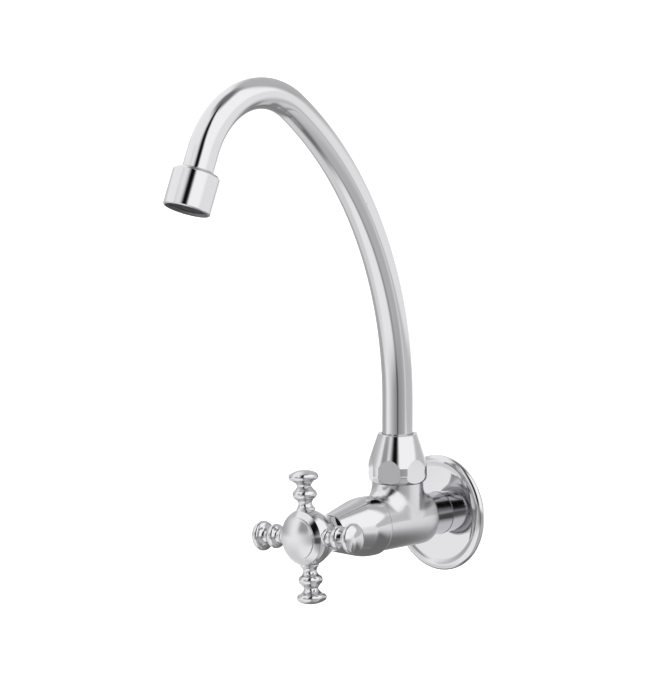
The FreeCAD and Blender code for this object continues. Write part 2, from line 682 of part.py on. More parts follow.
def seat_washer():
    """The rubber disc that closes on the seat."""
    hole = JUMPER_STUD_RADIUS + FIT_CLEARANCE
    return on_inlet_axis(ring(hole, SEAT_WASHER_RADIUS, SEAT_OUT, WASHER_FRONT_OUT))


def washer_nut():
    """The nut that holds the seat washer on the jumper's stud."""
    bottom = SEAT_OUT - WASHER_NUT_THICKNESS
    bar = hexagon(WASHER_NUT_FLATS, bottom, SEAT_OUT, 0)
    hole = ring(0, JUMPER_STUD_RADIUS + FIT_CLEARANCE, bottom, SEAT_OUT)
    return on_inlet_axis(cut_all(bar, [hole]))


def handle_hub():
    """The flared hub: square hole for the spindle, pocket for the screw and four arm sockets."""
    swell_radius = (SKIRT_RADIUS + HUB_RADIUS) / 2 + HUB_SKIRT_SWELL
    swell_out = (SKIRT_BACK_OUT + SKIRT_ROUND + ARM_AXIS_OUT) / 2
    shoulder_radius = (HUB_RADIUS + HUB_SHOULDER_RADIUS) / 2 + HUB_SHOULDER_SWELL
    shoulder_out = (ARM_AXIS_OUT + HUB_SHOULDER_OUT) / 2
    outside = turned(
        (0, SKIRT_BACK_OUT),
        line_to(SKIRT_RADIUS - SKIRT_ROUND, SKIRT_BACK_OUT),
        line_to(SKIRT_RADIUS, SKIRT_BACK_OUT + SKIRT_ROUND),
        arc_to(swell_radius, swell_out, HUB_RADIUS, ARM_AXIS_OUT),
        arc_to(shoulder_radius, shoulder_out, HUB_SHOULDER_RADIUS, HUB_SHOULDER_OUT),
        line_to(HUB_FRONT_RADIUS, HUB_FRONT_OUT),
        line_to(0, HUB_FRONT_OUT),
    )
    shaft_hole = ring(0, SPINDLE_RADIUS + FIT_CLEARANCE, SKIRT_BACK_OUT, SQUARE_BACK_OUT)
    web_back = SCREW_SEAT_OUT - HUB_WEB
    square_hole = square_bar(SQUARE_SIDE + 2 * FIT_CLEARANCE, SQUARE_BACK_OUT, web_back)
    screw_hole = ring(0, SCREW_RADIUS + LOOSE_CLEARANCE, web_back, SCREW_SEAT_OUT)
    pocket = ring(0, HUB_POCKET_RADIUS, SCREW_SEAT_OUT, HUB_FRONT_OUT)
    plug = ring(0, ARM_PLUG_RADIUS + FIT_CLEARANCE, ARM_PLUG_START, HUB_RADIUS)
    stud_end = ARM_PLUG_START - ARM_STUD_LENGTH
    stud = ring(0, ARM_STUD_RADIUS + FIT_CLEARANCE, stud_end, ARM_PLUG_START)
    sockets = [arm_placed(plug.fuse(stud), angle) for angle in ARM_ANGLES.values()]
    hub = cut_all(outside, [shaft_hole, square_hole, screw_hole, pocket])
    return cut_all(on_handle_turn(hub), sockets)


def arm_placed(shape, angle):
    """Place a copy of a piece turned about local Z on one arm's axis."""
    placed = shape.copy()
    lean = FreeCAD.Rotation(FreeCAD.Vector(0, 1, 0), angle + HANDLE_TURN)
    placed.Placement = FreeCAD.Placement(FreeCAD.Vector(0, -ARM_AXIS_OUT, 0), lean)
    return placed


def handle_arm():
    """One turned arm: plug and stud, neck, bead, waist and a round-edged knob."""
    stud_end = ARM_PLUG_START - ARM_STUD_LENGTH
    bead_start = ARM_BEAD_AT - ARM_BEAD_HALF_WIDTH
    bead_end = ARM_BEAD_AT + ARM_BEAD_HALF_WIDTH
    bead_root = (ARM_BEAD_RADIUS + ARM_NECK_RADIUS) / 2
    knob_root_at = ARM_KNOB_AT - ARM_KNOB_HALF_WIDTH
    tip_at = ARM_KNOB_AT + ARM_KNOB_HALF_WIDTH
    knob_edge_radius = ARM_KNOB_RADIUS - ARM_KNOB_ROUND
    flare_radius = (ARM_WAIST_RADIUS + knob_edge_radius) / 2
    flare_at = knob_root_at - (knob_root_at - ARM_WAIST_AT) / 4
    return turned(
        (0, stud_end),
        line_to(ARM_STUD_RADIUS, stud_end),
        line_to(ARM_STUD_RADIUS, ARM_PLUG_START),
        line_to(ARM_PLUG_RADIUS, ARM_PLUG_START),
        line_to(ARM_PLUG_RADIUS, ARM_PLUG_END),
        arc_to(ARM_NECK_RADIUS, ARM_NECK_AT, bead_root, bead_start),
        arc_to(ARM_BEAD_RADIUS, ARM_BEAD_AT, bead_root, bead_end),
        line_to(ARM_WAIST_RADIUS, ARM_WAIST_AT),
        arc_to(flare_radius, flare_at, knob_edge_radius, knob_root_at),
        arc_to(ARM_KNOB_RADIUS, ARM_KNOB_AT, knob_edge_radius, tip_at),
        dome_to(knob_edge_radius, tip_at, ARM_TIP_AT),
    )


def handle_screw():
    """The slotted screw that holds the handle on the spindle."""
    head_back = SCREW_SEAT_OUT + SCREW_WASHER_THICKNESS
    head_front = head_back + SCREW_HEAD_HEIGHT
    head = ring(0, SCREW_HEAD_RADIUS, head_back, head_front)
    shank = ring(0, SCREW_RADIUS, SQUARE_FRONT_OUT - SCREW_ENGAGEMENT, head_back)
    slot_corner = FreeCAD.Vector(-SCREW_HEAD_RADIUS, -SCREW_SLOT_WIDTH / 2, head_front - SCREW_SLOT_DEPTH)
    slot = Part.makeBox(2 * SCREW_HEAD_RADIUS, SCREW_SLOT_WIDTH, SCREW_SLOT_DEPTH, slot_corner)
    return on_handle_turn(cut_all(head.fuse(shank), [slot]))


def screw_washer():
    """The washer under the handle screw's head."""
    hole = SCREW_RADIUS + LOOSE_CLEARANCE
    front = SCREW_SEAT_OUT + SCREW_WASHER_THICKNESS
    return on_handle_turn(ring(hole, SCREW_WASHER_RADIUS, SCREW_SEAT_OUT, front))


def handle_cap():
    """The domed button, hollow below, with a skirt that plugs into the hub's pocket."""
    edge_out = HUB_FRONT_OUT + CAP_EDGE
    apex_out = HUB_FRONT_OUT + CAP_HEIGHT
    skirt_radius = HUB_POCKET_RADIUS - FIT_CLEARANCE
    skirt_back = HUB_FRONT_OUT - CAP_SKIRT_LENGTH
    hollow_radius = skirt_radius - CAP_WALL
    button = turned(
        (hollow_radius, skirt_back),
        line_to(skirt_radius, skirt_back),
        line_to(skirt_radius, HUB_FRONT_OUT),
        line_to(CAP_RADIUS, HUB_FRONT_OUT),
        line_to(CAP_RADIUS, edge_out),
        dome_to(CAP_RADIUS, edge_out, apex_out),
        line_to(0, edge_out),
        line_to(hollow_radius, edge_out),
    )
    return on_handle_turn(button)


def spout_nut():
    """The bell-shaped hexagon nut over the ferrule's collar."""
    side_up = NUT_BOTTOM_UP + NUT_BOTTOM_ROUND
    shoulder_up = side_up + NUT_SHOULDER
    taper_end_up = NUT_TOP_UP - NUT_TOP_RIM
    middle_radius = (NUT_TURNED_RADIUS + NUT_TOP_RADIUS) / 2 + NUT_SWELL
    outside = turned(
        (0, NUT_BOTTOM_UP),
        line_to(NUT_BOTTOM_RADIUS, NUT_BOTTOM_UP),
        round_to(NUT_BOTTOM_RADIUS, NUT_BOTTOM_UP, NUT_TURNED_RADIUS, side_up),
        line_to(NUT_TURNED_RADIUS, shoulder_up),
        arc_to(middle_radius, (shoulder_up + taper_end_up) / 2, NUT_TOP_RADIUS, taper_end_up),
        line_to(NUT_TOP_RADIUS, NUT_TOP_UP),
        line_to(0, NUT_TOP_UP),
    )
    flats = hexagon(NUT_FLATS, NUT_BOTTOM_UP, NUT_TOP_UP, NUT_CORNER_ANGLE - FULL_TURN / 4)
    thread_bore = BOSS_THREAD_RADIUS + FIT_CLEARANCE
    cup_bore = CUP_RADIUS + LOOSE_CLEARANCE
    tube_bore = TUBE_RADIUS + LOOSE_CLEARANCE
    cavity_top = CUP_TOP_UP + NUT_CAVITY_HEADROOM
    bore = turned(
        (0, NUT_BOTTOM_UP),
        line_to(thread_bore, NUT_BOTTOM_UP),
        line_to(thread_bore, THRUST_TOP_UP),
        line_to(cup_bore, THRUST_TOP_UP),
        line_to(cup_bore, cavity_top),
        line_to(tube_bore, cavity_top),
        line_to(tube_bore, NUT_TOP_UP),
        line_to(0, NUT_TOP_UP),
    )
    return on_spout_axis(cut_all(outside.common(flats), [bore]))


def spout_ferrule():
    """The turned tail of the spout: grooved spigot, collar and a cup for the tube."""
    groove_floor = SPIGOT_RADIUS - O_RING_GROOVE_DEPTH
    outline = [line_to(SPIGOT_RADIUS, FERRULE_BOTTOM_UP)]
    for centre in (O_RING_LOWER_AT, O_RING_UPPER_AT):
        groove_bottom = FERRULE_BOTTOM_UP + centre - O_RING_GROOVE_WIDTH / 2
        groove_top = groove_bottom + O_RING_GROOVE_WIDTH
        outline.append(line_to(SPIGOT_RADIUS, groove_bottom))
        outline.append(line_to(groove_floor, groove_bottom))
        outline.append(line_to(groove_floor, groove_top))
        outline.append(line_to(SPIGOT_RADIUS, groove_top))
    cup_bore = TUBE_RADIUS + FIT_CLEARANCE
    tail = turned(
        (FERRULE_BORE_RADIUS, FERRULE_BOTTOM_UP),
        *outline,
        line_to(SPIGOT_RADIUS, COLLAR_BOTTOM_UP),
        line_to(FERRULE_COLLAR_RADIUS, COLLAR_BOTTOM_UP),
        line_to(FERRULE_COLLAR_RADIUS, COLLAR_TOP_UP),
        line_to(CUP_RADIUS, COLLAR_TOP_UP),
        line_to(CUP_RADIUS, CUP_TOP_UP),
        line_to(cup_bore, CUP_TOP_UP),
        line_to(cup_bore, TUBE_BOTTOM_UP),
        line_to(FERRULE_BORE_RADIUS, TUBE_BOTTOM_UP),
    )
    return on_spout_axis(tail)


def spout_o_ring(centre):
    """A seal in one of the ferrule's grooves, at a height above the ferrule's end."""
    groove_floor = SPIGOT_RADIUS - O_RING_GROOVE_DEPTH
    section = (SOCKET_RADIUS - groove_floor) / 2 - FIT_CLEARANCE
    middle = (SOCKET_RADIUS + groove_floor) / 2
    seal = Part.makeTorus(middle, section, FreeCAD.Vector(0, 0, FERRULE_BOTTOM_UP + centre))
    return on_spout_axis(seal)


def slip_ring(inner, bottom):
    """A plastic ring that the ferrule's collar turns against."""
    top = bottom + SLIP_RING_THICKNESS
    return on_spout_axis(ring(inner + LOOSE_CLEARANCE, SLIP_RING_RADIUS, bottom, top))


def spout_tube():
    """The bent spout tube, with its volume compared with its section times its length."""
    tube = swept_bar(TUBE_RADIUS).cut(swept_bar(TUBE_BORE_RADIUS))
    section = math.pi * (TUBE_RADIUS**2 - TUBE_BORE_RADIUS**2)
    print("spout tube volume over section times length:", tube.Volume / section / spout_path().Length)
    return tube


def outlet_bush():
    """The threaded sleeve on the tube's end, with a ledge that stops the tube."""
    tube_bore = TUBE_RADIUS + FIT_CLEARANCE
    sleeve = turned(
        (BUSH_LEDGE_RADIUS, BUSH_BOTTOM),
        line_to(BUSH_RADIUS, BUSH_BOTTOM),
        line_to(BUSH_RADIUS, HOUSING_LENGTH),
        line_to(BUSH_TOP_RADIUS, BUSH_TOP),
        line_to(tube_bore, BUSH_TOP),
        line_to(tube_bore, TUBE_END),
        line_to(BUSH_LEDGE_RADIUS, TUBE_END),
    )
    return on_nozzle_axis(sleeve)


def aerator_housing():
    """The plain cylinder at the outlet, with a sunk mouth and a lip that holds the aerator."""
    bore = BUSH_RADIUS + FIT_CLEARANCE
    rim_radius = HOUSING_RADIUS - HOUSING_EDGE
    shell = turned(
        (HOUSING_LIP_RADIUS, HOUSING_MOUTH_DEPTH),
        line_to(rim_radius - HOUSING_MOUTH_RIM, 0),
        line_to(rim_radius, 0),
        line_to(HOUSING_RADIUS, HOUSING_EDGE),
        line_to(HOUSING_RADIUS, HOUSING_LENGTH - HOUSING_BEVEL_LENGTH),
        line_to(HOUSING_RADIUS - HOUSING_BEVEL_DEPTH, HOUSING_LENGTH),
        line_to(bore, HOUSING_LENGTH),
        line_to(bore, HOUSING_LIP_THICKNESS),
        line_to(HOUSING_LIP_RADIUS, HOUSING_LIP_THICKNESS),
    )
    return on_nozzle_axis(shell)


def hole_tools(counts, circles, radius, bottom, top):
    """Round tools for holes on circles, one in the middle where the circle has no radius."""
    tools = []
    for count, circle_radius in zip(counts, circles):
        for index in range(count):
            angle = 2 * math.pi * index / count
            centre = FreeCAD.Vector(
                circle_radius * math.cos(angle), circle_radius * math.sin(angle), bottom
            )
            tools.append(Part.makeCylinder(radius, top - bottom, centre))
    return tools


def aerator_body():
    """The plastic insert: a rim and a plate with holes that straighten the water."""
    inside = AERATOR_RADIUS - AERATOR_RIM
    plate_front = HOUSING_LIP_THICKNESS + AERATOR_PLATE_AT
    insert = turned(
        (0, plate_front),
        line_to(inside, plate_front),
        line_to(inside, HOUSING_LIP_THICKNESS),
        line_to(AERATOR_RADIUS, HOUSING_LIP_THICKNESS),
        line_to(AERATOR_RADIUS, AERATOR_TOP),
        line_to(inside, AERATOR_TOP),
        line_to(inside, AERATOR_PLATE_BACK),
        line_to(0, AERATOR_PLATE_BACK),
    )
    holes = hole_tools(
        AERATOR_HOLE_COUNTS, AERATOR_HOLE_CIRCLES, AERATOR_HOLE_RADIUS, plate_front, AERATOR_PLATE_BACK
    )
    return on_nozzle_axis(cut_all(insert, holes))


def aerator_screen():
    """The fine screen that lies on the insert's plate."""
    top = AERATOR_PLATE_BACK + SCREEN_THICKNESS
    outer = AERATOR_RADIUS - AERATOR_RIM - FIT_CLEARANCE
    disc = ring(0, outer, AERATOR_PLATE_BACK, top)
    holes = hole_tools(
        SCREEN_HOLE_COUNTS, SCREEN_HOLE_CIRCLES, SCREEN_HOLE_RADIUS, AERATOR_PLATE_BACK, top
    )
    return on_nozzle_axis(cut_all(disc, holes))


def aerator_washer():
    """The rubber joint between the bush and the aerator insert."""
    return on_nozzle_axis(ring(BUSH_LEDGE_RADIUS, AERATOR_RADIUS, AERATOR_TOP, BUSH_BOTTOM))


def all_pieces():
    """Every piece of the tap by its node name."""
    pieces = {
        "valve_body": valve_body(),
        "wall_flange": wall_flange(),
        "bonnet": bonnet(),
        "bonnet_washer": bonnet_washer(),
        "gland_packing": gland_packing(),
        "gland_nut": gland_nut(),
        "spindle": spindle(),
        "jumper_valve": jumper_valve(),
        "seat_washer": seat_washer(),
        "washer_nut": washer_nut(),
        "handle_hub": handle_hub(),
        "handle_screw": handle_screw(),
        "screw_washer": screw_washer(),
        "handle_cap": handle_cap(),
        "spout_nut": spout_nut(),
        "spout_ferrule": spout_ferrule(),
        "spout_o_ring_lower": spout_o_ring(O_RING_LOWER_AT),
        "spout_o_ring_upper": spout_o_ring(O_RING_UPPER_AT),
        "spout_slip_washer": slip_ring(SPIGOT_RADIUS, BOSS_END_UP),
        "spout_thrust_washer": slip_ring(CUP_RADIUS, COLLAR_TOP_UP),
        "spout_tube": spout_tube(),
        "outlet_bush": outlet_bush(),
        "aerator_housing": aerator_housing(),
        "aerator_body": aerator_body(),
        "aerator_screen": aerator_screen(),
        "aerator_washer": aerator_washer(),
    }
    for side, angle in ARM_ANGLES.items():
        pieces["handle_arm_" + side] = arm_placed(handle_arm(), angle)
    return pieces


os.makedirs("parts", exist_ok=True)
for name, shape in all_pieces().items():
    solids = shape.Solids
    if len(solids) != 1 or not shape.isValid():
        raise ValueError(name + " is not one valid solid")
    solids[0].exportStep(os.path.join("parts", name + ".step"))
    print(name, "volume", round(solids[0].Volume, 1))
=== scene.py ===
import logging
import math
from dataclasses import astuple, dataclass, field
from enum import Enum
from typing import Any, Callable, Mapping, Sequence

import bmesh
import bpy
from mathutils import Matrix, Vector


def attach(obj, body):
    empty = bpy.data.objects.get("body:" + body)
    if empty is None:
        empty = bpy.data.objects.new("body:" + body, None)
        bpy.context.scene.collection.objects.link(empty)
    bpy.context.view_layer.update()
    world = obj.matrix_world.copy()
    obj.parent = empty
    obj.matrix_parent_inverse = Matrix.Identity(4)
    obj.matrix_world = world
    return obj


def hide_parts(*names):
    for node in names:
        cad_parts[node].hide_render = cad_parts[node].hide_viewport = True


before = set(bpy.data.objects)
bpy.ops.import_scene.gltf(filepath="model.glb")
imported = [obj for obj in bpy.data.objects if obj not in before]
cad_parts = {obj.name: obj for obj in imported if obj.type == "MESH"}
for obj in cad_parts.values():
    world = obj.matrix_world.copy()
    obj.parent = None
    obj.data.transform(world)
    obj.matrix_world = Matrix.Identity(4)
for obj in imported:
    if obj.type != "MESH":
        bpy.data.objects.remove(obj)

# A chromed wall-mounted cold water tap, dressed for the camera. Sizes are in millimetres and angles in
# degrees, in the frame of the solids: the inlet axis meets the wall at the origin, the handle points
# along -Y and +Z is up. A place is (radius, along) about a turned piece's axis. The studio alone is in
# metres.

LOG = logging.getLogger("tap")

MM = 0.001
FULL_TURN = 2.0 * math.pi
HEX_SIDES = 6
SPIN_STEPS = 144
ARC_STEPS = 14
EDGE_SEGMENTS = 3
SHARP_ANGLE = math.radians(24.0)
CREASE_ANGLE = SHARP_ANGLE * 1.6
SLIVER = 0.3
NEAR = 1e-4
CUT_NEAR = 1e-5
WHITE = (1.0, 1.0, 1.0, 1.0)
MIX_FACTOR, MIX_FIRST, MIX_SECOND, MIX_RESULT = 0, 6, 7, 2

Place = tuple[float, float]
Span = tuple[float, float]
Triple = tuple[float, float, float]
Colour = Triple
Edges = tuple[float, float, float, float]
Mesh = bmesh.types.BMesh
MeshEdge = bmesh.types.BMEdge
Socket = bpy.types.NodeSocket
Value = Any
Given = Mapping[str, Socket]


class Body(Enum):
    """The bodies of the tap that move apart and carry new pieces."""

    TAP = "tap_body"
    HANDLE = "handle"
    SPOUT = "spout"


class Slot(Enum):
    """The material slots of the record, which each dress names."""

    BODY = "body_chrome"
    HANDLE = "handle_chrome"
    SPOUT = "spout_chrome"


class Wiring:
    """Adds and joins the nodes of one shader tree."""

    def __init__(self, tree: bpy.types.NodeTree) -> None:
        """Keep the tree that is wired."""
        self.tree = tree

    def add(
        self, kind: str, inputs: Mapping[str | int, Value] | None = None, **settings: Any
    ) -> bpy.types.Node:
        """Add a node, set it up and join its inputs.

        Args:
            kind: The node's type name.
            inputs: Values, or output sockets to join, by the input's name or number.
            settings: Properties of the node itself.

        Returns:
            The new node.
        """
        node = self.tree.nodes.new(kind)
        for name, value in settings.items():
            setattr(node, name, value)
        self.join(node, inputs or {})
        return node

    def join(self, node: bpy.types.Node, inputs: Mapping[str | int, Value]) -> None:
        """Set the inputs of a node.

        Args:
            node: The node.
            inputs: Values, or output sockets to join, by the input's name or number.
        """
        for key, value in inputs.items():
            if isinstance(value, Socket):
                self.tree.links.new(value, node.inputs[key])
            else:
                node.inputs[key].default_value = value

    def where(self) -> Socket:
        """Return the object coordinates."""
        return self.add("ShaderNodeTexCoord").outputs["Object"]

    def math(self, operation: str, *values: Value) -> Socket:
        """Return the result of a Math node for one to three values."""
        return self.add("ShaderNodeMath", dict(enumerate(values)), operation=operation).outputs[0]

    def span(self, value: Value, low: Value, high: Value, to_low: Value, to_high: Value) -> Socket:
        """Map a span of values smoothly onto another.

        Args:
            value: The socket to map.
            low: Where the span starts.
            high: Where the span ends.
            to_low: What the start becomes.
            to_high: What the end becomes.

        Returns:
            The mapped value.
        """
        inputs = {"Value": value, 1: low, 2: high, 3: to_low, 4: to_high}
        return self.add("ShaderNodeMapRange", inputs, interpolation_type="SMOOTHSTEP").outputs["Result"]

    def noise(self, where: Socket, scale: Value, detail: float, roughness: float = 0.5) -> Socket:
        """Return a noise over space."""
        inputs = {"Vector": where, "Scale": scale, "Detail": detail, "Roughness": roughness}
        return self.add("ShaderNodeTexNoise", inputs).outputs["Fac"]

    def tint(self, mask: Socket, clean: Colour, marked: Colour) -> Socket:
        """Return one colour where a mask is nought and another where it is one."""
        inputs = {MIX_FACTOR: mask, MIX_FIRST: (*clean, 1.0), MIX_SECOND: (*marked, 1.0)}
        return self.add("ShaderNodeMix", inputs, data_type="RGBA").outputs[MIX_RESULT]

    def bump(self, height: Socket, depth: float) -> Socket:
        """Return the normal of marks with a height from nought to one and a depth in millimetres."""
        inputs = {"Strength": 1.0, "Distance": depth * MM, "Height": height}
        return self.add("ShaderNodeBump", inputs).outputs[0]


@dataclass(frozen=True)
class Effect:
    """A shader node group that materials share, built the first time that it is placed.

    Attributes:
        name: The group's name.
        inputs: The names of its inputs, all of them values but for Vector.
        output: The name of its one output, a value.
    """

    name: str
    inputs: Sequence[str]
    output: str

    def place(self, wiring: Wiring, *values: Value) -> Socket:
        """Place the effect in a shader tree.

        Args:
            wiring: The tree's wiring.
            values: The group's inputs in order.

        Returns:
            The group's output.
        """
        tree = bpy.data.node_groups.get(self.name) or self._tree()
        return wiring.add("ShaderNodeGroup", dict(enumerate(values)), node_tree=tree).outputs[0]

    def fill(self, wiring: Wiring, given: Given) -> Socket:
        """Wire the inside; each effect does this its own way.

        Args:
            wiring: The group's wiring.
            given: The group's inputs by name.

        Returns:
            The socket for the output.
        """
        raise NotImplementedError

    def _tree(self) -> bpy.types.ShaderNodeTree:
        """Build the group.

        Returns:
            The group's node tree.
        """
        tree = bpy.data.node_groups.new(self.name, "ShaderNodeTree")
        for label in self.inputs:
            kind = "NodeSocketVector" if label == "Vector" else "NodeSocketFloat"
            tree.interface.new_socket(label, in_out="INPUT", socket_type=kind)
        tree.interface.new_socket(self.output, in_out="OUTPUT", socket_type="NodeSocketFloat")
        wiring = Wiring(tree)
        entry = wiring.add("NodeGroupInput")
        result = self.fill(wiring, {label: entry.outputs[label] for label in self.inputs})
        wiring.add("NodeGroupOutput", {self.output: result})
        return tree


@dataclass(frozen=True)
class Haze(Effect):
    """Roughness that drifts over a polished surface, as wiping leaves it."""

    name: str = "polish_haze"
    inputs: Sequence[str] = ("Vector", "Scale", "Low", "High")
    output: str = "Roughness"
    finer: float = 9.0
    fine_share: float = 0.3
    useful: Span = (0.36, 0.66)

    def fill(self, wiring: Wiring, given: Given) -> Socket:
        """Wire two scales of noise into one span of roughness."""
        broad = wiring.noise(given["Vector"], given["Scale"], detail=3.0)
        fine_scale = wiring.math("MULTIPLY", given["Scale"], self.finer)
        fine = wiring.noise(given["Vector"], fine_scale, detail=2.0)
        most = wiring.math("MULTIPLY", broad, 1.0 - self.fine_share)
        both = wiring.math("MULTIPLY_ADD", fine, self.fine_share, most)
        return wiring.span(both, *self.useful, given["Low"], given["High"])


@dataclass(frozen=True)
class Hairlines(Effect):
    """Fine scratches in two directions, as a mask."""

    name: str = "hairlines"
    inputs: Sequence[str] = ("Vector", "Scale")
    output: str = "Mask"
    turns: Sequence[Triple] = ((0.5, 0.35, 0.65), (2.1, 1.47, 2.73))
    stretches: Sequence[Triple] = ((1.0, 46.0, 1.3), (38.0, 1.0, 1.6))
    crest: Span = (0.66, 0.74)

    def fill(self, wiring: Wiring, given: Given) -> Socket:
        """Wire two stretched noises and keep their crests."""
        lines = []
        for turn, stretch in zip(self.turns, self.stretches):
            inputs = {"Vector": given["Vector"], "Rotation": turn, "Scale": stretch}
            mapped = wiring.add("ShaderNodeMapping", inputs).outputs[0]
            noise = wiring.noise(mapped, given["Scale"], detail=2.0, roughness=0.4)
            lines.append(wiring.span(noise, *self.crest, 0.0, 1.0))
        return wiring.math("MAXIMUM", *lines)


@dataclass(frozen=True)
class WaterMarks(Effect):
    """Faint dried drops: thin rings with a thinner film inside, as a mask."""

    name: str = "water_marks"
    inputs: Sequence[str] = ("Vector", "Scale", "Share")
    output: str = "Mask"
    ring: Edges = (0.14, 0.20, 0.20, 0.24)
    film: float = 0.25

    def fill(self, wiring: Wiring, given: Given) -> Socket:
        """Wire scattered cells into rings and leave most cells clean."""
        inputs = {"Vector": given["Vector"], "Scale": given["Scale"], "Randomness": 1.0}
        cells = wiring.add("ShaderNodeTexVoronoi", inputs)
        far = cells.outputs["Distance"]
        hollow = wiring.span(far, *self.ring[:2], self.film, 1.0)
        outside = wiring.span(far, *self.ring[2:], 1.0, 0.0)
        chance = wiring.add("ShaderNodeSeparateColor", {0: cells.outputs["Color"]}).outputs[0]
        wet = wiring.math("LESS_THAN", chance, given["Share"])
        return wiring.math("MULTIPLY", wiring.math("MULTIPLY", outside, hollow), wet)


@dataclass(frozen=True)
class Ripple(Effect):
    """The slow waviness that hand polishing leaves on plated metal, as a height."""

    name: str = "polish_ripple"
    inputs: Sequence[str] = ("Vector", "Scale")
    output: str = "Height"

    def fill(self, wiring: Wiring, given: Given) -> Socket:
        """Wire one soft noise."""
        return wiring.noise(given["Vector"], given["Scale"], detail=1.0, roughness=0.3)


@dataclass(frozen=True)
class LatheLines(Effect):
    """Fine turning marks round the local Z axis, as a height."""

    name: str = "lathe_lines"
    inputs: Sequence[str] = ("Vector", "Scale")
    output: str = "Height"

    def fill(self, wiring: Wiring, given: Given) -> Socket:
        """Wire a noise that changes only along the axis and with the radius."""
        parts = wiring.add("ShaderNodeSeparateXYZ", {0: given["Vector"]}).outputs
        flat = wiring.add("ShaderNodeCombineXYZ", {"X": parts["X"], "Y": parts["Y"]})
        radius = wiring.add("ShaderNodeVectorMath", {0: flat.outputs[0]}, operation="LENGTH")
        path = wiring.math("ADD", parts["Z"], radius.outputs["Value"])
        inputs = {"W": path, "Scale": given["Scale"], "Detail": 3.0}
        return wiring.add("ShaderNodeTexNoise", inputs, noise_dimensions="1D").outputs["Fac"]


@dataclass(frozen=True)
class Mottle(Effect):
    """Cloudy unevenness, as a mask."""

    name: str = "mottle"
    inputs: Sequence[str] = ("Vector", "Scale")
    output: str = "Mask"
    useful: Span = (0.35, 0.68)

    def fill(self, wiring: Wiring, given: Given) -> Socket:
        """Wire one noise over its useful span."""
        noise = wiring.noise(given["Vector"], given["Scale"], detail=5.0, roughness=0.6)
        return wiring.span(noise, *self.useful, 0.0, 1.0)


HAZE, HAIRLINES, WATER_MARKS = Haze(), Hairlines(), WaterMarks()
RIPPLE, LATHE_LINES, MOTTLE = Ripple(), LatheLines(), Mottle()


def blank_material(name: str) -> tuple[bpy.types.Material, Wiring]:
    """Make a material with an empty shader tree.

    Args:
        name: The material's name.

    Returns:
        The material and its wiring.
    """
    material = bpy.data.materials.new(name)
    material.use_nodes = True
    material.node_tree.nodes.clear()
    return material, Wiring(material.node_tree)


@dataclass(frozen=True)
class Finish:
    """A procedural material.

    Attributes:
        name: The material's name.
    """

    name: str

    def material(self) -> bpy.types.Material:
        """Build the material the first time that it is asked for.

        Returns:
            The material.
        """
        found = bpy.data.materials.get(self.name)
        if found:
            return found
        material, wiring = blank_material(self.name)
        surface = wiring.add("ShaderNodeBsdfPrincipled", self.wire(wiring, wiring.where()))
        wiring.add("ShaderNodeOutputMaterial", {"Surface": surface.outputs[0]})
        return material

    def wire(self, wiring: Wiring, where: Socket) -> Mapping[str, Value]:
        """Wire what the surface needs; each kind of finish does this its own way.

        Args:
            wiring: The material's wiring.
            where: Object coordinates.

        Returns:
            The inputs of the surface shader.
        """
        raise NotImplementedError


@dataclass(frozen=True)
class ChromePlate(Finish):
    """Polished chrome plate with a trace of handling.

    Attributes:
        clean: Its colour face on.
        filmed: Its colour under a dried water mark.
        low: The roughness of the best polished places.
        high: The roughness of the hazy places.
        ripple_depth: The depth of the polishing waves, in millimetres.
        marks: The share of drops that left a mark.
        scratch_rough: How much rougher a hairline is.
        mark_rough: How much rougher a water mark is.
    """

    clean: Colour = (0.60, 0.596, 0.611)
    filmed: Colour = (0.565, 0.562, 0.572)
    low: float = 0.03
    high: float = 0.07
    ripple_depth: float = 0.006
    marks: float = 0.02
    scratch_rough: float = 0.05
    mark_rough: float = 0.10
    haze_scale: float = 38.0
    scratch_scale: float = 55.0
    mark_scale: float = 150.0
    ripple_scale: float = 95.0

    def wire(self, wiring: Wiring, where: Socket) -> Mapping[str, Value]:
        """Wire haze, hairlines, water marks and waves into a mirror."""
        haze = HAZE.place(wiring, where, self.haze_scale, self.low, self.high)
        scratch = HAIRLINES.place(wiring, where, self.scratch_scale)
        marked = WATER_MARKS.place(wiring, where, self.mark_scale, self.marks)
        scratched = wiring.math("MULTIPLY_ADD", scratch, self.scratch_rough, haze)
        height = RIPPLE.place(wiring, where, self.ripple_scale)
        return {
            "Metallic": 1.0,
            "Base Color": wiring.tint(marked, self.clean, self.filmed),
            "Roughness": wiring.math("MULTIPLY_ADD", marked, self.mark_rough, scratched),
            "Normal": wiring.bump(height, self.ripple_depth),
        }


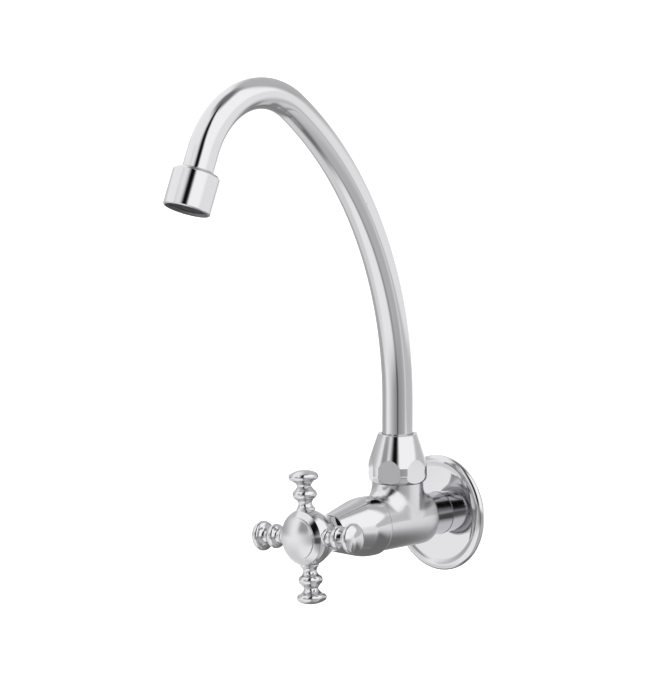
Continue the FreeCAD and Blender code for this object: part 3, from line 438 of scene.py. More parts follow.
@dataclass(frozen=True)
class TurnedMetal(Finish):
    """Bare metal from a lathe, with its marks round one axis.

    Attributes:
        bright: Its colour where it is clean.
        dull: Its colour where it has tarnished.
        roughness: How rough it is where it is clean.
        axis_turn: Turns the frame so that the piece's axis is Z, in degrees about X.
        axis_shift: Moves the piece's axis to the origin, in millimetres.
        tarnish_rough: How much rougher the tarnish is.
        line_depth: The depth of the turning marks, in millimetres.
    """

    bright: Colour = (0.72, 0.55, 0.27)
    dull: Colour = (0.46, 0.33, 0.15)
    roughness: float = 0.24
    axis_turn: float = 0.0
    axis_shift: Triple = (0.0, 0.0, 0.0)
    tarnish_rough: float = 0.18
    line_depth: float = 0.012
    line_scale: float = 6000.0
    cloud_scale: float = 170.0

    def wire(self, wiring: Wiring, where: Socket) -> Mapping[str, Value]:
        """Wire turning marks and tarnish into a metal."""
        shift = tuple(value * MM for value in self.axis_shift)
        moved = wiring.add("ShaderNodeVectorMath", {0: where, 1: shift}, operation="ADD").outputs[0]
        turn = (math.radians(self.axis_turn), 0.0, 0.0)
        turned = wiring.add("ShaderNodeMapping", {"Vector": moved, "Rotation": turn}).outputs[0]
        lines = LATHE_LINES.place(wiring, turned, self.line_scale)
        cloud = MOTTLE.place(wiring, where, self.cloud_scale)
        return {
            "Metallic": 1.0,
            "Base Color": wiring.tint(cloud, self.bright, self.dull),
            "Roughness": wiring.span(cloud, 0.0, 1.0, self.roughness, self.roughness + self.tarnish_rough),
            "Normal": wiring.bump(lines, self.line_depth),
        }


@dataclass(frozen=True)
class Moulding(Finish):
    """Rubber, plastic or pressed fibre, with a fine grain.

    Attributes:
        light: Its colour where it is clean.
        dark: Its colour in the clouds of its grain.
        roughness: How rough it is at its smoothest.
        grain: How fine the grain is.
        depth: The depth of the grain, in millimetres.
        grain_rough: How much rougher the grain makes it.
    """

    light: Colour = (0.05, 0.05, 0.052)
    dark: Colour = (0.02, 0.02, 0.021)
    roughness: float = 0.5
    grain: float = 900.0
    depth: float = 0.02
    grain_rough: float = 0.15
    cloud_scale: float = 220.0

    def wire(self, wiring: Wiring, where: Socket) -> Mapping[str, Value]:
        """Wire grain and clouds into a dull surface."""
        cloud = MOTTLE.place(wiring, where, self.cloud_scale)
        grain = MOTTLE.place(wiring, where, self.grain)
        return {
            "Base Color": wiring.tint(cloud, self.light, self.dark),
            "Roughness": wiring.span(grain, 0.0, 1.0, self.roughness, self.roughness + self.grain_rough),
            "Normal": wiring.bump(grain, self.depth),
        }


@dataclass(frozen=True)
class Dress:
    """What a piece moves with and how it looks.

    Attributes:
        body: The body that it moves with.
        slot: Its material slot in the record; not used.
        finish: Its material.
        second: The material of its marked faces.
    """

    body: Body
    slot: Slot
    finish: Finish
    second: Finish | None = None


BRIGHT_CHROME = ChromePlate("bright_chrome", low=0.045, high=0.085)
CAST_CHROME = ChromePlate("cast_chrome", low=0.17, high=0.22)
HANDLE_CHROME = ChromePlate("handle_polish", low=0.035, high=0.085)
SOFT_CHROME = ChromePlate("soft_chrome", low=0.05, high=0.09, ripple_depth=0.004)
BUTTON_CHROME = ChromePlate("button_chrome", low=0.09, high=0.14, marks=0.0)
TAIL_BRASS = TurnedMetal("tail_brass", axis_turn=90.0)
# Dark metal for the nozzle's sunk mouth and lip: partly the duller plating inside, partly painted shade of
# the recess.
MOUTH_SHADED_METAL = TurnedMetal(
    "mouth_shaded_metal", bright=(0.16, 0.16, 0.165), dull=(0.10, 0.10, 0.105), roughness=0.42
)

POLISHED = Dress(Body.TAP, Slot.BODY, BRIGHT_CHROME)
CAST = Dress(Body.TAP, Slot.BODY, CAST_CHROME, BRIGHT_CHROME)
THREADED = Dress(Body.TAP, Slot.BODY, TAIL_BRASS)
GRIPPED = Dress(Body.HANDLE, Slot.HANDLE, HANDLE_CHROME)
PRESSED = Dress(Body.HANDLE, Slot.HANDLE, BUTTON_CHROME)
DRAWN = Dress(Body.SPOUT, Slot.SPOUT, SOFT_CHROME)
NOZZLE_CHROME = Dress(Body.SPOUT, Slot.SPOUT, BRIGHT_CHROME)
NOZZLE_MOUTH = Dress(Body.SPOUT, Slot.SPOUT, BRIGHT_CHROME, MOUTH_SHADED_METAL)


class Outline:
    """A turned outline, drawn from place to place."""

    def __init__(self, *places: Place) -> None:
        """Draw straight lines through the first places."""
        self.places = list(places)

    def line(self, *places: Place) -> "Outline":
        """Go straight from place to place and return the outline."""
        self.places.extend(places)
        return self

    def arc(self, way: Place, end: Place) -> "Outline":
        """Go to a place in a circular arc.

        Args:
            way: A place on the arc.
            end: Where the arc ends.

        Returns:
            The outline.
        """
        start, middle, stop = Vector(self.places[-1]), Vector(way), Vector(end)
        first, second = middle - start, stop - start
        cross = 2.0 * (first.x * second.y - first.y * second.x)
        centre = start + Vector(
            (
                (second.y * first.length_squared - first.y * second.length_squared) / cross,
                (first.x * second.length_squared - second.x * first.length_squared) / cross,
            )
        )
        sweep = math.copysign(FULL_TURN - 2.0 * self._angle(start - middle, stop - middle), cross)
        for step in range(1, ARC_STEPS):
            place = centre + Matrix.Rotation(sweep * step / ARC_STEPS, 2) @ (start - centre)
            self.places.append((max(place.x, 0.0), place.y))
        return self.line(end)

    def bow(self, end: Place, swell: float = 0.0, lift: float = 0.0) -> "Outline":
        """Go to a place in an arc.

        Args:
            end: Where the arc ends.
            swell: How far its middle lies outside the straight line.
            lift: How far its middle lies further along.

        Returns:
            The outline.
        """
        radius, along = self.places[-1]
        return self.arc(((radius + end[0]) / 2.0 + swell, (along + end[1]) / 2.0 + lift), end)

    def dome(self, apex: float) -> "Outline":
        """Close to the axis in a part of a sphere.

        Args:
            apex: How far along the top of the dome is.

        Returns:
            The outline.
        """
        radius, along = self.places[-1]
        height = apex - along
        sphere = (radius**2 + height**2) / (2.0 * height)
        half = math.asin(radius / sphere) / 2.0
        return self.arc((sphere * math.sin(half), apex - sphere * (1.0 - math.cos(half))), (0.0, apex))

    @staticmethod
    def _angle(first: Vector, second: Vector) -> float:
        """Return the angle between two directions."""
        return math.acos(max(-1.0, min(1.0, first.normalized().dot(second.normalized()))))


def add_object(name: str, bm: Mesh, *materials: bpy.types.Material) -> bpy.types.Object:
    """Put a finished mesh into the scene.

    Args:
        name: The object's name.
        bm: The mesh in metres, which is used up.
        materials: Its materials in order.

    Returns:
        The new object.
    """
    mesh = bpy.data.meshes.new(name)
    bm.to_mesh(mesh)
    bm.free()
    for material in materials:
        mesh.materials.append(material)
    added = bpy.data.objects.new(name, mesh)
    bpy.context.scene.collection.objects.link(added)
    return added


class Shape:
    """A mesh in the making, in millimetres and about a local Z axis."""

    def __init__(self, bm: Mesh) -> None:
        """Keep the mesh that is worked on."""
        self.bm = bm

    @classmethod
    def turned(cls, outline: Outline, closed: bool = True, steps: int = SPIN_STEPS) -> "Shape":
        """Turn an outline round the local Z axis.

        Args:
            outline: The outline to turn.
            closed: Whether its end joins its start.
            steps: How many steps go round.

        Returns:
            The closed shape.
        """
        bm = bmesh.new()
        verts = [bm.verts.new((radius, 0.0, along)) for radius, along in outline.places]
        edges = [bm.edges.new(pair) for pair in zip(verts, verts[1:])]
        if closed:
            edges.append(bm.edges.new((verts[-1], verts[0])))
        bmesh.ops.spin(
            bm, geom=verts + edges, cent=(0, 0, 0), axis=(0, 0, 1), dvec=(0, 0, 0),
            angle=FULL_TURN, steps=steps, use_merge=True,
        )
        return cls(bm).clean()

    def everything(self) -> list:
        """Return all vertices, edges and faces."""
        return self.bm.verts[:] + self.bm.edges[:] + self.bm.faces[:]

    def clean(self) -> "Shape":
        """Merge doubles, drop faces with no area and turn all faces outwards.

        Returns:
            The shape.
        """
        bmesh.ops.remove_doubles(self.bm, verts=self.bm.verts, dist=NEAR)
        bmesh.ops.dissolve_degenerate(self.bm, dist=NEAR, edges=self.bm.edges)
        loose = [edge for edge in self.bm.edges if not edge.link_faces]
        bmesh.ops.delete(self.bm, geom=loose, context="EDGES")
        bmesh.ops.recalc_face_normals(self.bm, faces=self.bm.faces)
        return self

    def mill(self, across: float, corner_angle: float) -> "Shape":
        """Mill six flats on a turned shape.

        Args:
            across: The width across the flats.
            corner_angle: The angle of one corner from local X.

        Returns:
            The shape.
        """
        for side in range(HEX_SIDES):
            angle = math.radians(corner_angle + (side + 0.5) * 360.0 / HEX_SIDES)
            normal = Vector((math.cos(angle), math.sin(angle), 0.0))
            cut = bmesh.ops.bisect_plane(
                self.bm, geom=self.everything(), dist=CUT_NEAR, plane_co=normal * across / 2.0,
                plane_no=normal, clear_outer=True,
            )
            rim = [item for item in cut["geom_cut"] if isinstance(item, MeshEdge)]
            bmesh.ops.edgeloop_fill(self.bm, edges=rim)
            self._merge_slivers(rim)
        return self.clean()

    def _merge_slivers(self, rim: Sequence[MeshEdge]) -> None:
        """Pull the vertices that lie close to a flat's rim onto it.

        Args:
            rim: The edges round the flat.
        """
        on_rim = {vert for edge in rim for vert in edge.verts}
        pulled = {}
        for vert in on_rim:
            for edge in vert.link_edges:
                other = edge.other_vert(vert)
                if other not in on_rim and edge.calc_length() < SLIVER:
                    pulled[other] = vert
        bmesh.ops.weld_verts(self.bm, targetmap=pulled)

    def soften(self, width: float, sharp: float = SHARP_ANGLE) -> "Shape":
        """Round every sharp edge.

        Args:
            width: How far the rounding reaches from the edge.
            sharp: The least angle between the faces of a sharp edge, in radians.

        Returns:
            The shape.
        """
        edges = [e for e in self.bm.edges if len(e.link_faces) == 2 and e.calc_face_angle(0.0) > sharp]
        bmesh.ops.bevel(
            self.bm, geom=edges, offset=width, offset_type="OFFSET", segments=EDGE_SEGMENTS, profile=0.5,
            affect="EDGES", material=-1, clamp_overlap=True,
        )
        return self

    def mark(self, belongs: Callable[[Vector], bool]) -> "Shape":
        """Give some faces the second material.

        Args:
            belongs: Tells by a face's middle whether it is one of them.

        Returns:
            The shape.
        """
        for face in self.bm.faces:
            if belongs(face.calc_center_median()):
                face.material_index = 1
        return self

    def piece(self, name: str, place: Matrix, dress: Dress, *stands_for: str) -> None:
        """Make a dressed object of the shape and let it ride.

        Args:
            name: The piece's name.
            place: Where its local frame lies, in millimetres.
            dress: What it moves with and how it looks.
            stands_for: The solids that it is shown in place of.
        """
        bmesh.ops.transform(self.bm, matrix=Matrix.Scale(MM, 4) @ place, verts=self.bm.verts)
        for face in self.bm.faces:
            face.smooth = True
        for edge in self.bm.edges:
            edge.smooth = len(edge.link_faces) != 2 or edge.calc_face_angle(0.0) < CREASE_ANGLE
        finishes = [finish for finish in (dress.finish, dress.second) if finish]
        piece = add_object(name, self.bm, *(finish.material() for finish in finishes))
        shading = piece.modifiers.new("even_shading", "WEIGHTED_NORMAL")
        shading.keep_sharp = True
        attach(piece, dress.body.value)
        if stands_for:
            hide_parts(*stands_for)
        LOG.info("%s: %d faces on %s", name, len(piece.data.polygons), dress.body.value)


IN_PLACE = Matrix.Identity(4)
INLET_AXIS = Matrix.Rotation(math.radians(90.0), 4, "X")
SPOUT_OUT = 34.1
SPOUT_AXIS = Matrix.Translation((0.0, -SPOUT_OUT, 0.0))


@dataclass
class WallFlange:
    """The round cover plate against the wall."""

    hole: float = 11.05
    radius: float = 30.3
    height: float = 2.5
    rim: float = 0.9
    roll: Place = (27.0, 3.2)
    roll_swell: float = 0.45
    face: Place = (23.5, 2.2)
    dip: float = 0.3
    wall: float = 1.0
    lip: float = 0.9
    edge: float = 0.3

    def build(self) -> None:
        """Turn the plate with its rolled rim, hollow at the back."""
        front = (self.hole, self.height)
        behind = [(radius, along - self.wall) for radius, along in (front, self.face, self.roll)]
        inner, outer = self.radius - self.lip, self.radius
        outline = Outline(*behind, (inner, self.rim), (inner, 0.0), (outer, 0.0), (outer, self.rim))
        outline.bow(self.roll, self.roll_swell, self.roll_swell).bow(self.face, lift=-self.dip).line(front)
        Shape.turned(outline).soften(self.edge).piece("flange_plate", INLET_AXIS, POLISHED, "wall_flange")


@dataclass
class Casting:
    """The tee of the valve body and its threaded tail."""

    thread_radius: float = 10.48
    thread_depth: float = 1.16
    thread_pitch: float = 1.814
    thread_crest: float = 0.5
    thread_gap: float = 0.1
    thread_sunk: float = 0.1
    thread_turns: float = 7.0
    tail_length: float = 16.0
    tail_edge: float = 0.15
    bore: float = 6.5
    neck_radius: float = 11.3
    neck_length: float = 15.5
    weld: float = 0.001
    steps_per_turn: int = 72

    def build(self) -> None:
        """Show the polished tee and the tail behind the wall."""
        self._tee()
        self._tail()
        self._thread()

    def _tee(self) -> None:
        """Take the tee's surface from its solid, up to the wall."""
        bm = bmesh.new()
        bm.from_mesh(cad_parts["valve_body"].data)
        bmesh.ops.transform(bm, matrix=Matrix.Scale(1.0 / MM, 4), verts=bm.verts)
        bmesh.ops.remove_doubles(bm, verts=bm.verts, dist=self.weld)
        tee = Shape(bm)
        bmesh.ops.bisect_plane(
            bm, geom=tee.everything(), dist=self.weld, plane_co=(0, 0, 0), plane_no=(0, 1, 0),
            clear_outer=True,
        )
        tee.mark(self._on_neck).piece("tee_casting", IN_PLACE, CAST, "valve_body")

    def _on_neck(self, middle: Vector) -> bool:
        """Tell whether a face lies on the turned neck, which has the brighter polish."""
        return middle.y > -self.neck_length and middle.xz.length < self.neck_radius

    def _tail(self) -> None:
        """Turn the plain core of the tail."""
        root, end, lead = self.thread_radius - self.thread_depth, -self.tail_length, self.thread_depth / 2.0
        outline = Outline((self.bore, 0.0), (self.bore, end), (root - lead, end))
        outline.line((root, end + lead), (root, 0.0))
        Shape.turned(outline).soften(self.tail_edge).piece("inlet_tail", INLET_AXIS, THREADED)

    def _thread(self) -> None:
        """Wind the pipe thread's ridge round the tail."""
        sunk = self.thread_radius - self.thread_depth - self.thread_sunk
        half_root = (self.thread_pitch - self.thread_gap) / 2.0
        half_crest = self.thread_crest / 2.0
        start = -self.tail_length + self.thread_pitch
        section = (
            (sunk, start - half_root),
            (sunk, start + half_root),
            (self.thread_radius, start + half_crest),
            (self.thread_radius, start - half_crest),
        )
        bm = bmesh.new()
        verts = [bm.verts.new((radius, 0.0, along)) for radius, along in section]
        face = bm.faces.new(verts)
        bmesh.ops.spin(
            bm, geom=verts + list(face.edges) + [face], cent=(0, 0, 0), axis=(0, 0, 1),
            dvec=(0, 0, self.thread_pitch / self.steps_per_turn),
            angle=FULL_TURN * self.thread_turns, steps=int(self.thread_turns * self.steps_per_turn),
        )
        Shape(bm).clean().piece("inlet_thread_ridge", INLET_AXIS, THREADED)


@dataclass(kw_only=True)
class Bell:
    """A turned bell, bored through."""

    name: str
    solid: str
    place: Matrix
    foot: Place
    foot_round: float
    side: float
    shoulder: float
    front: Place
    rim: float
    inside: Sequence[Place]
    edge: float = 0.22

    def build(self) -> None:
        """Turn the bell, mill it and round its edges."""
        inset = 1.0 - math.sqrt(0.5)
        radius, back = self.foot
        top = back + self.foot_round
        way = (self.side - (self.side - radius) * inset, back + self.foot_round * inset)
        outline = Outline(self.inside[-1], self.foot).arc(way, (self.side, top))
        self.taper(outline, top + self.shoulder, (self.front[0], self.front[1] - self.rim))
        outline.line(self.front, *self.inside[:-1])
        self.finish_edges(Shape.turned(outline)).piece(self.name, self.place, POLISHED, self.solid)

    def taper(self, outline: Outline, start: float, end: Place) -> None:
        """Carry the outline from the straight side to the front; each bell does this its own way.

        Args:
            outline: The bell's outline so far.
            start: Where the straight side would end in a corner.
            end: Where the taper ends.
        """
        raise NotImplementedError

    def finish_edges(self, shape: Shape) -> Shape:
        """Round the edges of the turned bell and return it."""
        return shape.soften(self.edge)


@dataclass(kw_only=True)
class EasedBell(Bell):
    """A bell with a straight taper that is eased into its side."""

    ease: float

    def taper(self, outline: Outline, start: float, end: Place) -> None:
        """Ease the side into a straight taper."""
        lean = math.atan2(self.side - end[0], end[1] - start)
        depth = self.ease * math.tan(lean / 4.0)
        way = (self.side - depth * math.cos(lean / 2.0), start - depth * math.sin(lean / 2.0))
        outline.line((self.side, start - self.ease))
        outline.arc(way, (self.side - self.ease * math.sin(lean), start + self.ease * math.cos(lean)))
        outline.line(end)


@dataclass(kw_only=True)
class HexBell(Bell):
    """A bell with six flats for a spanner."""

    swell: float
    flats: float
    corner_angle: float
    edge: float = 0.4
    edge_angle: float = 12.0

    def taper(self, outline: Outline, start: float, end: Place) -> None:
        """Let the taper swell a little between its ends."""
        outline.line((self.side, start)).bow(end, self.swell)

    def finish_edges(self, shape: Shape) -> Shape:
        """Mill the flats, round their edges and return the bell."""
        return shape.mill(self.flats, self.corner_angle).soften(self.edge, math.radians(self.edge_angle))


BONNET = EasedBell(
    name="bonnet_bell", solid="bonnet", place=INLET_AXIS, foot=(13.9, 54.05), foot_round=2.4,
    side=15.5, shoulder=6.5, ease=4.6, front=(9.7, 86.0), rim=0.8,
    inside=((7.6, 86.0), (7.6, 70.0), (8.9, 70.0), (8.9, 54.8), (13.1, 54.8), (13.1, 54.05)),
)
SPOUT_NUT = HexBell(
    name="spout_nut_bell", solid="spout_nut", place=SPOUT_AXIS, foot=(13.6, 20.5), foot_round=5.0,
    side=15.4, shoulder=3.7, swell=0.15, front=(10.3, 45.7), rim=0.5, flats=28.4, corner_angle=-36.0,
    inside=((8.3, 45.7), (8.3, 37.4), (11.65, 37.4), (11.65, 20.5)),
)


@dataclass
class Gland:
    """The small hexagon nut behind the handle."""

    bore: float = 4.85
    stem: float = 7.55
    back: float = 80.0
    seat: float = 86.0
    front: float = 89.8
    flats: float = 16.4
    chamfer: float = 0.8
    corner_angle: float = 8.0
    edge: float = 0.15

    def build(self) -> None:
        """Turn the nut and mill its head."""
        corner = self.flats / 2.0 / math.cos(math.pi / HEX_SIDES)
        outline = Outline((self.bore, self.back), (self.stem, self.back), (self.stem, self.seat))
        outline.line((corner, self.seat), (corner, self.front - self.chamfer))
        outline.line((corner - self.chamfer, self.front), (self.bore, self.front))
        nut = Shape.turned(outline).mill(self.flats, self.corner_angle).soften(self.edge)
        nut.piece("gland_head", INLET_AXIS, POLISHED, "gland_nut")


@dataclass
class HandleArm:
    """A turned arm with its bead and knob, along from the handle's axis."""

    spigot: Place = (2.4, 8.6)
    plug: Place = (4.8, 10.4)
    plug_end: float = 14.9
    neck: Place = (3.6, 17.6)
    bead: Place = (6.3, 21.9)
    bead_half: float = 2.3
    waist: Place = (3.6, 26.0)
    flare: float = 28.325
    knob: Place = (7.7, 30.9)
    knob_half: float = 1.8
    knob_roll: float = 1.0
    tip: float = 34.4
    edge: float = 0.2
    steps: int = 96

    def build(self, side: str, place: Matrix) -> None:
        """Turn one arm.

        Args:
            side: Which arm it is.
            place: Where its axis lies.
        """
        (spigot, root), (plug, step) = self.spigot, self.plug
        (bead, bead_middle), (knob, knob_middle) = self.bead, self.knob
        bead_side, knob_side = (bead + self.neck[0]) / 2.0, knob - self.knob_roll
        outline = Outline((0.0, root), self.spigot, (spigot, step), self.plug, (plug, self.plug_end))
        outline.arc(self.neck, (bead_side, bead_middle - self.bead_half))
        outline.arc(self.bead, (bead_side, bead_middle + self.bead_half)).line(self.waist)
        flare = ((self.waist[0] + knob_side) / 2.0, self.flare)
        outline.arc(flare, (knob_side, knob_middle - self.knob_half))
        outline.arc(self.knob, (knob_side, knob_middle + self.knob_half)).dome(self.tip)
        name = "handle_arm_" + side
        arm = Shape.turned(outline, closed=False, steps=self.steps).soften(self.edge)
        arm.piece(name + "_turned", place, GRIPPED, name)


@dataclass
class CrossHandle:
    """The hub, its four arms and the button."""

    turn: float = -5.3
    arm_axis: float = 102.7
    skirt: Place = (10.2, 91.2)
    skirt_round: float = 0.8
    skirt_swell: float = 0.5
    hub_radius: float = 15.0
    shoulder: Place = (13.6, 107.7)
    shoulder_swell: float = 0.3
    hub_front: Place = (11.0, 110.0)
    hub_round: float = 0.25
    shaft_bore: float = 4.85
    pocket: Place = (8.0, 106.1)
    cap_radius: float = 10.7
    cap_edge: float = 0.7
    cap_height: float = 3.0
    cap_skirt: float = 3.0
    cap_wall: float = 1.4
    cap_play: float = 0.05
    cap_round: float = 0.2
    arm: HandleArm = field(default_factory=HandleArm)
    arm_angles: Mapping[str, float] = field(
        default_factory=lambda: {"top": 0.0, "right": 90.0, "bottom": 180.0, "left": 270.0}
    )

    def build(self) -> None:
        """Turn the hub, the button and each arm."""
        place = INLET_AXIS @ Matrix.Rotation(math.radians(-self.turn), 4, "Z")
        self._hub(place)
        self._button(place)
        for side, angle in self.arm_angles.items():
            lean = Matrix.Rotation(math.radians(angle + self.turn), 4, "Y")
            self.arm.build(side, Matrix.Translation((0.0, -self.arm_axis, 0.0)) @ lean)

    def _hub(self, place: Matrix) -> None:
        """Turn the flared hub.

        Args:
            place: Where the handle's axis lies.
        """
        skirt, back = self.skirt
        pocket, floor = self.pocket
        outline = Outline((self.shaft_bore, back), (skirt - self.skirt_round, back))
        outline.line((skirt, back + self.skirt_round))
        outline.bow((self.hub_radius, self.arm_axis), self.skirt_swell)
        outline.bow(self.shoulder, self.shoulder_swell)
        outline.line(self.hub_front, (pocket, self.hub_front[1]), self.pocket, (self.shaft_bore, floor))
        hub = Shape.turned(outline).soften(self.hub_round)
        hub.piece("handle_hub_turned", place, GRIPPED, "handle_hub")

    def _button(self, place: Matrix) -> None:
        """Turn the domed button.

        Args:
            place: Where the handle's axis lies.
        """
        front, skirt = self.hub_front[1], self.pocket[0] - self.cap_play
        inner, end, edge = skirt - self.cap_wall, front - self.cap_skirt, front + self.cap_edge
        outline = Outline((inner, end), (skirt, end), (skirt, front))
        outline.line((self.cap_radius, front), (self.cap_radius, edge))
        outline.dome(front + self.cap_height).line((0.0, edge), (inner, edge))
        button = Shape.turned(outline).soften(self.cap_round)
        button.piece("handle_button", place, PRESSED, "handle_cap")


@dataclass
class Spout:
    """The bent tube."""

    radius: float = 8.0
    bore: float = 6.8
    bottom: float = 28.8
    upright_top: float = 61.9
    long_radius: float = 196.1
    long_angle: float = 53.6
    short_radius: float = 42.5
    end_angle: float = 157.0
    end_length: float = 31.0
    tube_end: float = 10.0
    around: int = 96
    steps_per_degree: float = 1.4

    def build(self) -> None:
        """Sweep the tube's outside and inside and close its ends."""
        bm = bmesh.new()
        outer, inner = self._wall(bm, self.radius), self._wall(bm, self.bore)
        for outside, inside in zip(outer, inner):
            bmesh.ops.bridge_loops(bm, edges=outside + inside)
        Shape(bm).clean().piece("spout_pipe", IN_PLACE, DRAWN, "spout_tube")

    def nozzle_place(self) -> Matrix:
        """Return the frame whose Z runs back up the spout from the outlet."""
        end = self._end_direction()
        bend_end = self._short_centre() + self._ray(self.end_angle) * self.short_radius
        turn = Vector((0.0, 0.0, 1.0)).rotation_difference(-end)
        return Matrix.Translation(bend_end + end * self.end_length) @ turn.to_matrix().to_4x4()

    @staticmethod
    def _ray(angle: float) -> Vector:
        """Return the direction at an angle from the wall's side upwards."""
        return Vector((0.0, math.cos(math.radians(angle)), math.sin(math.radians(angle))))

    def _end_direction(self) -> Vector:
        """Return the way that the spout's end points."""
        return self._ray(self.end_angle + 90.0)

    def _long_centre(self) -> Vector:
        """Return the centre of the long bend."""
        return Vector((0.0, -SPOUT_OUT - self.long_radius, self.upright_top))

    def _short_centre(self) -> Vector:
        """Return the centre of the short bend."""
        return self._long_centre() + self._ray(self.long_angle) * (self.long_radius - self.short_radius)

    def _wall(self, bm: Mesh, radius: float) -> tuple[list[MeshEdge], list[MeshEdge]]:
        """Run a circle along the spout.

        Args:
            bm: The mesh to add to.
            radius: The circle's radius.

        Returns:
            The edges of the first and the last circle.
        """
        at = Matrix.Translation((0.0, -SPOUT_OUT, self.bottom))
        verts = bmesh.ops.create_circle(bm, segments=self.around, radius=radius, matrix=at)["verts"]
        first = list({edge for vert in verts for edge in vert.link_edges})
        ends = self._straight(bm, first, Vector((0.0, 0.0, self.upright_top - self.bottom)))
        ends = self._bend(bm, ends, self._long_centre(), self.long_angle)
        ends = self._bend(bm, ends, self._short_centre(), self.end_angle - self.long_angle)
        return first, self._straight(bm, ends, self._end_direction() * (self.end_length - self.tube_end))

    @staticmethod
    def _straight(bm: Mesh, edges: list[MeshEdge], run: Vector) -> list[MeshEdge]:
        """Carry a circle of edges straight on.

        Args:
            bm: The mesh to add to.
            edges: The circle.
            run: How far and which way it goes.

        Returns:
            The new circle.
        """
        new = bmesh.ops.extrude_edge_only(bm, edges=edges)["geom"]
        bmesh.ops.translate(bm, vec=run, verts=[v for v in new if isinstance(v, bmesh.types.BMVert)])
        return [e for e in new if isinstance(e, MeshEdge)]

    def _bend(self, bm: Mesh, edges: list[MeshEdge], centre: Vector, angle: float) -> list[MeshEdge]:
        """Carry a circle of edges round a bend.

        Args:
            bm: The mesh to add to.
            edges: The circle.
            centre: The centre of the bend.
            angle: How far round it goes.

        Returns:
            The new circle.
        """
        verts = list({vert for edge in edges for vert in edge.verts})
        new = bmesh.ops.spin(
            bm, geom=verts + edges, cent=centre, axis=(1, 0, 0), dvec=(0, 0, 0), angle=math.radians(angle),
            steps=int(angle * self.steps_per_degree),
        )["geom_last"]
        return [e for e in new if isinstance(e, MeshEdge)]


@dataclass
class Nozzle:
    """The bush and the housing at the spout's end, along from the outlet."""

    spout: Spout
    radius: float = 12.1
    length: float = 19.8
    edge: float = 0.5
    edge_round: float = 0.2
    bevel_length: float = 1.3
    bevel_depth: float = 0.9
    lip: Place = (9.4, 1.8)
    mouth_depth: float = 1.2
    mouth_rim: float = 0.4
    bore: float = 10.35
    bush_radius: float = 10.3
    bush_end: Place = (6.5, 8.0)
    bush_seat: float = 10.0
    bush_top: Place = (8.9, 20.7)
    bush_bore: float = 8.05
    bush_round: float = 0.15

    def build(self) -> None:
        """Turn the housing and the bush."""
        place = self.spout.nozzle_place()
        lip_radius, lip = self.lip
        outline = Outline((lip_radius, self.mouth_depth), (self._mouth_radius(), 0.0))
        outline.line((self.radius - self.edge, 0.0), (self.radius, self.edge))
        outline.line((self.radius, self.length - self.bevel_length))
        outline.line((self.radius - self.bevel_depth, self.length), (self.bore, self.length))
        outline.line((self.bore, lip), self.lip)
        housing = Shape.turned(outline).soften(self.edge_round).mark(self._in_mouth)
        housing.piece("nozzle_housing", place, NOZZLE_MOUTH, "aerator_housing")
        mouth, end = self.bush_end
        outline = Outline(self.bush_end, (self.bush_radius, end), (self.bush_radius, self.length))
        outline.line(self.bush_top, (self.bush_bore, self.bush_top[1]))
        outline.line((self.bush_bore, self.bush_seat), (mouth, self.bush_seat))
        bush = Shape.turned(outline).soften(self.bush_round)
        bush.piece("nozzle_bush", place, NOZZLE_CHROME, "outlet_bush")

    def _mouth_radius(self) -> float:
        """Return the radius of the sunk mouth's outer edge."""
        return self.radius - self.edge - self.mouth_rim

    def _in_mouth(self, middle: Vector) -> bool:
        """Tell whether a face lies in the sunk mouth or on the lip, which are dull and dark: partly duller
        plating, partly painted shade.
        """
        return middle.z < self.lip[1] and middle.xy.length < self._mouth_radius()


SEAL_RUBBER = Moulding("seal_rubber", roughness=0.38, depth=0.006)
WHITE_NYLON = Moulding("white_nylon", light=(0.86, 0.86, 0.84), dark=(0.80, 0.80, 0.77))


@dataclass
class InnerWorks:
    """The solids that stay as they are and get a finish."""

    finishes: Mapping[str, Finish] = field(
        default_factory=lambda: {
            "spindle": TurnedMetal("spindle_brass", axis_turn=90.0),
            "jumper_valve": TurnedMetal("jumper_brass", axis_turn=90.0, roughness=0.3),
            "washer_nut": TurnedMetal("nut_brass", axis_turn=90.0, roughness=0.28),
            "spout_ferrule": TurnedMetal("ferrule_brass", axis_shift=(0.0, SPOUT_OUT, 0.0)),
            "handle_screw": TurnedMetal(
                "screw_steel", bright=(0.62, 0.62, 0.63), dull=(0.48, 0.48, 0.49), axis_turn=90.0
            ),
            "screw_washer": TurnedMetal(
                "washer_steel", bright=(0.60, 0.60, 0.61), dull=(0.46, 0.46, 0.47), roughness=0.32,
                axis_turn=90.0,
            ),
            "aerator_screen": TurnedMetal(
                "screen_steel", bright=(0.55, 0.55, 0.56), dull=(0.40, 0.40, 0.41), roughness=0.35
            ),
            "seat_washer": Moulding("seat_rubber"),
            "spout_o_ring_lower": SEAL_RUBBER,
            "spout_o_ring_upper": SEAL_RUBBER,
            "aerator_washer": Moulding("joint_rubber", light=(0.06, 0.06, 0.06)),
            "bonnet_washer": Moulding(
                "grey_fibre", light=(0.16, 0.15, 0.14), dark=(0.09, 0.085, 0.08), depth=0.05
            ),
            "gland_packing": Moulding("waxed_packing", light=(0.82, 0.80, 0.74), dark=(0.70, 0.67, 0.58)),
            "spout_slip_washer": WHITE_NYLON,
            "spout_thrust_washer": WHITE_NYLON,
            "aerator_body": Moulding(
                "aerator_insert", light=(0.10, 0.10, 0.105), dark=(0.07, 0.07, 0.074), roughness=0.4
            ),
        }
    )

    def build(self) -> None:
        """Give each solid its finish."""
        for node, finish in self.finishes.items():
            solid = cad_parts[node]
            solid.data.materials.clear()
            solid.data.materials.append(finish.material())
            LOG.info("%s: dressed as %s", node, finish.name)


@dataclass(frozen=True)
class Panel:
    """A soft-edged patch of the studio round the tap, in degrees; its azimuth runs from -Y towards +X."""

    azimuth: float
    half_width: float
    elevation: float
    half_height: float
    soft_side: float
    soft_level: float
    brightness: float


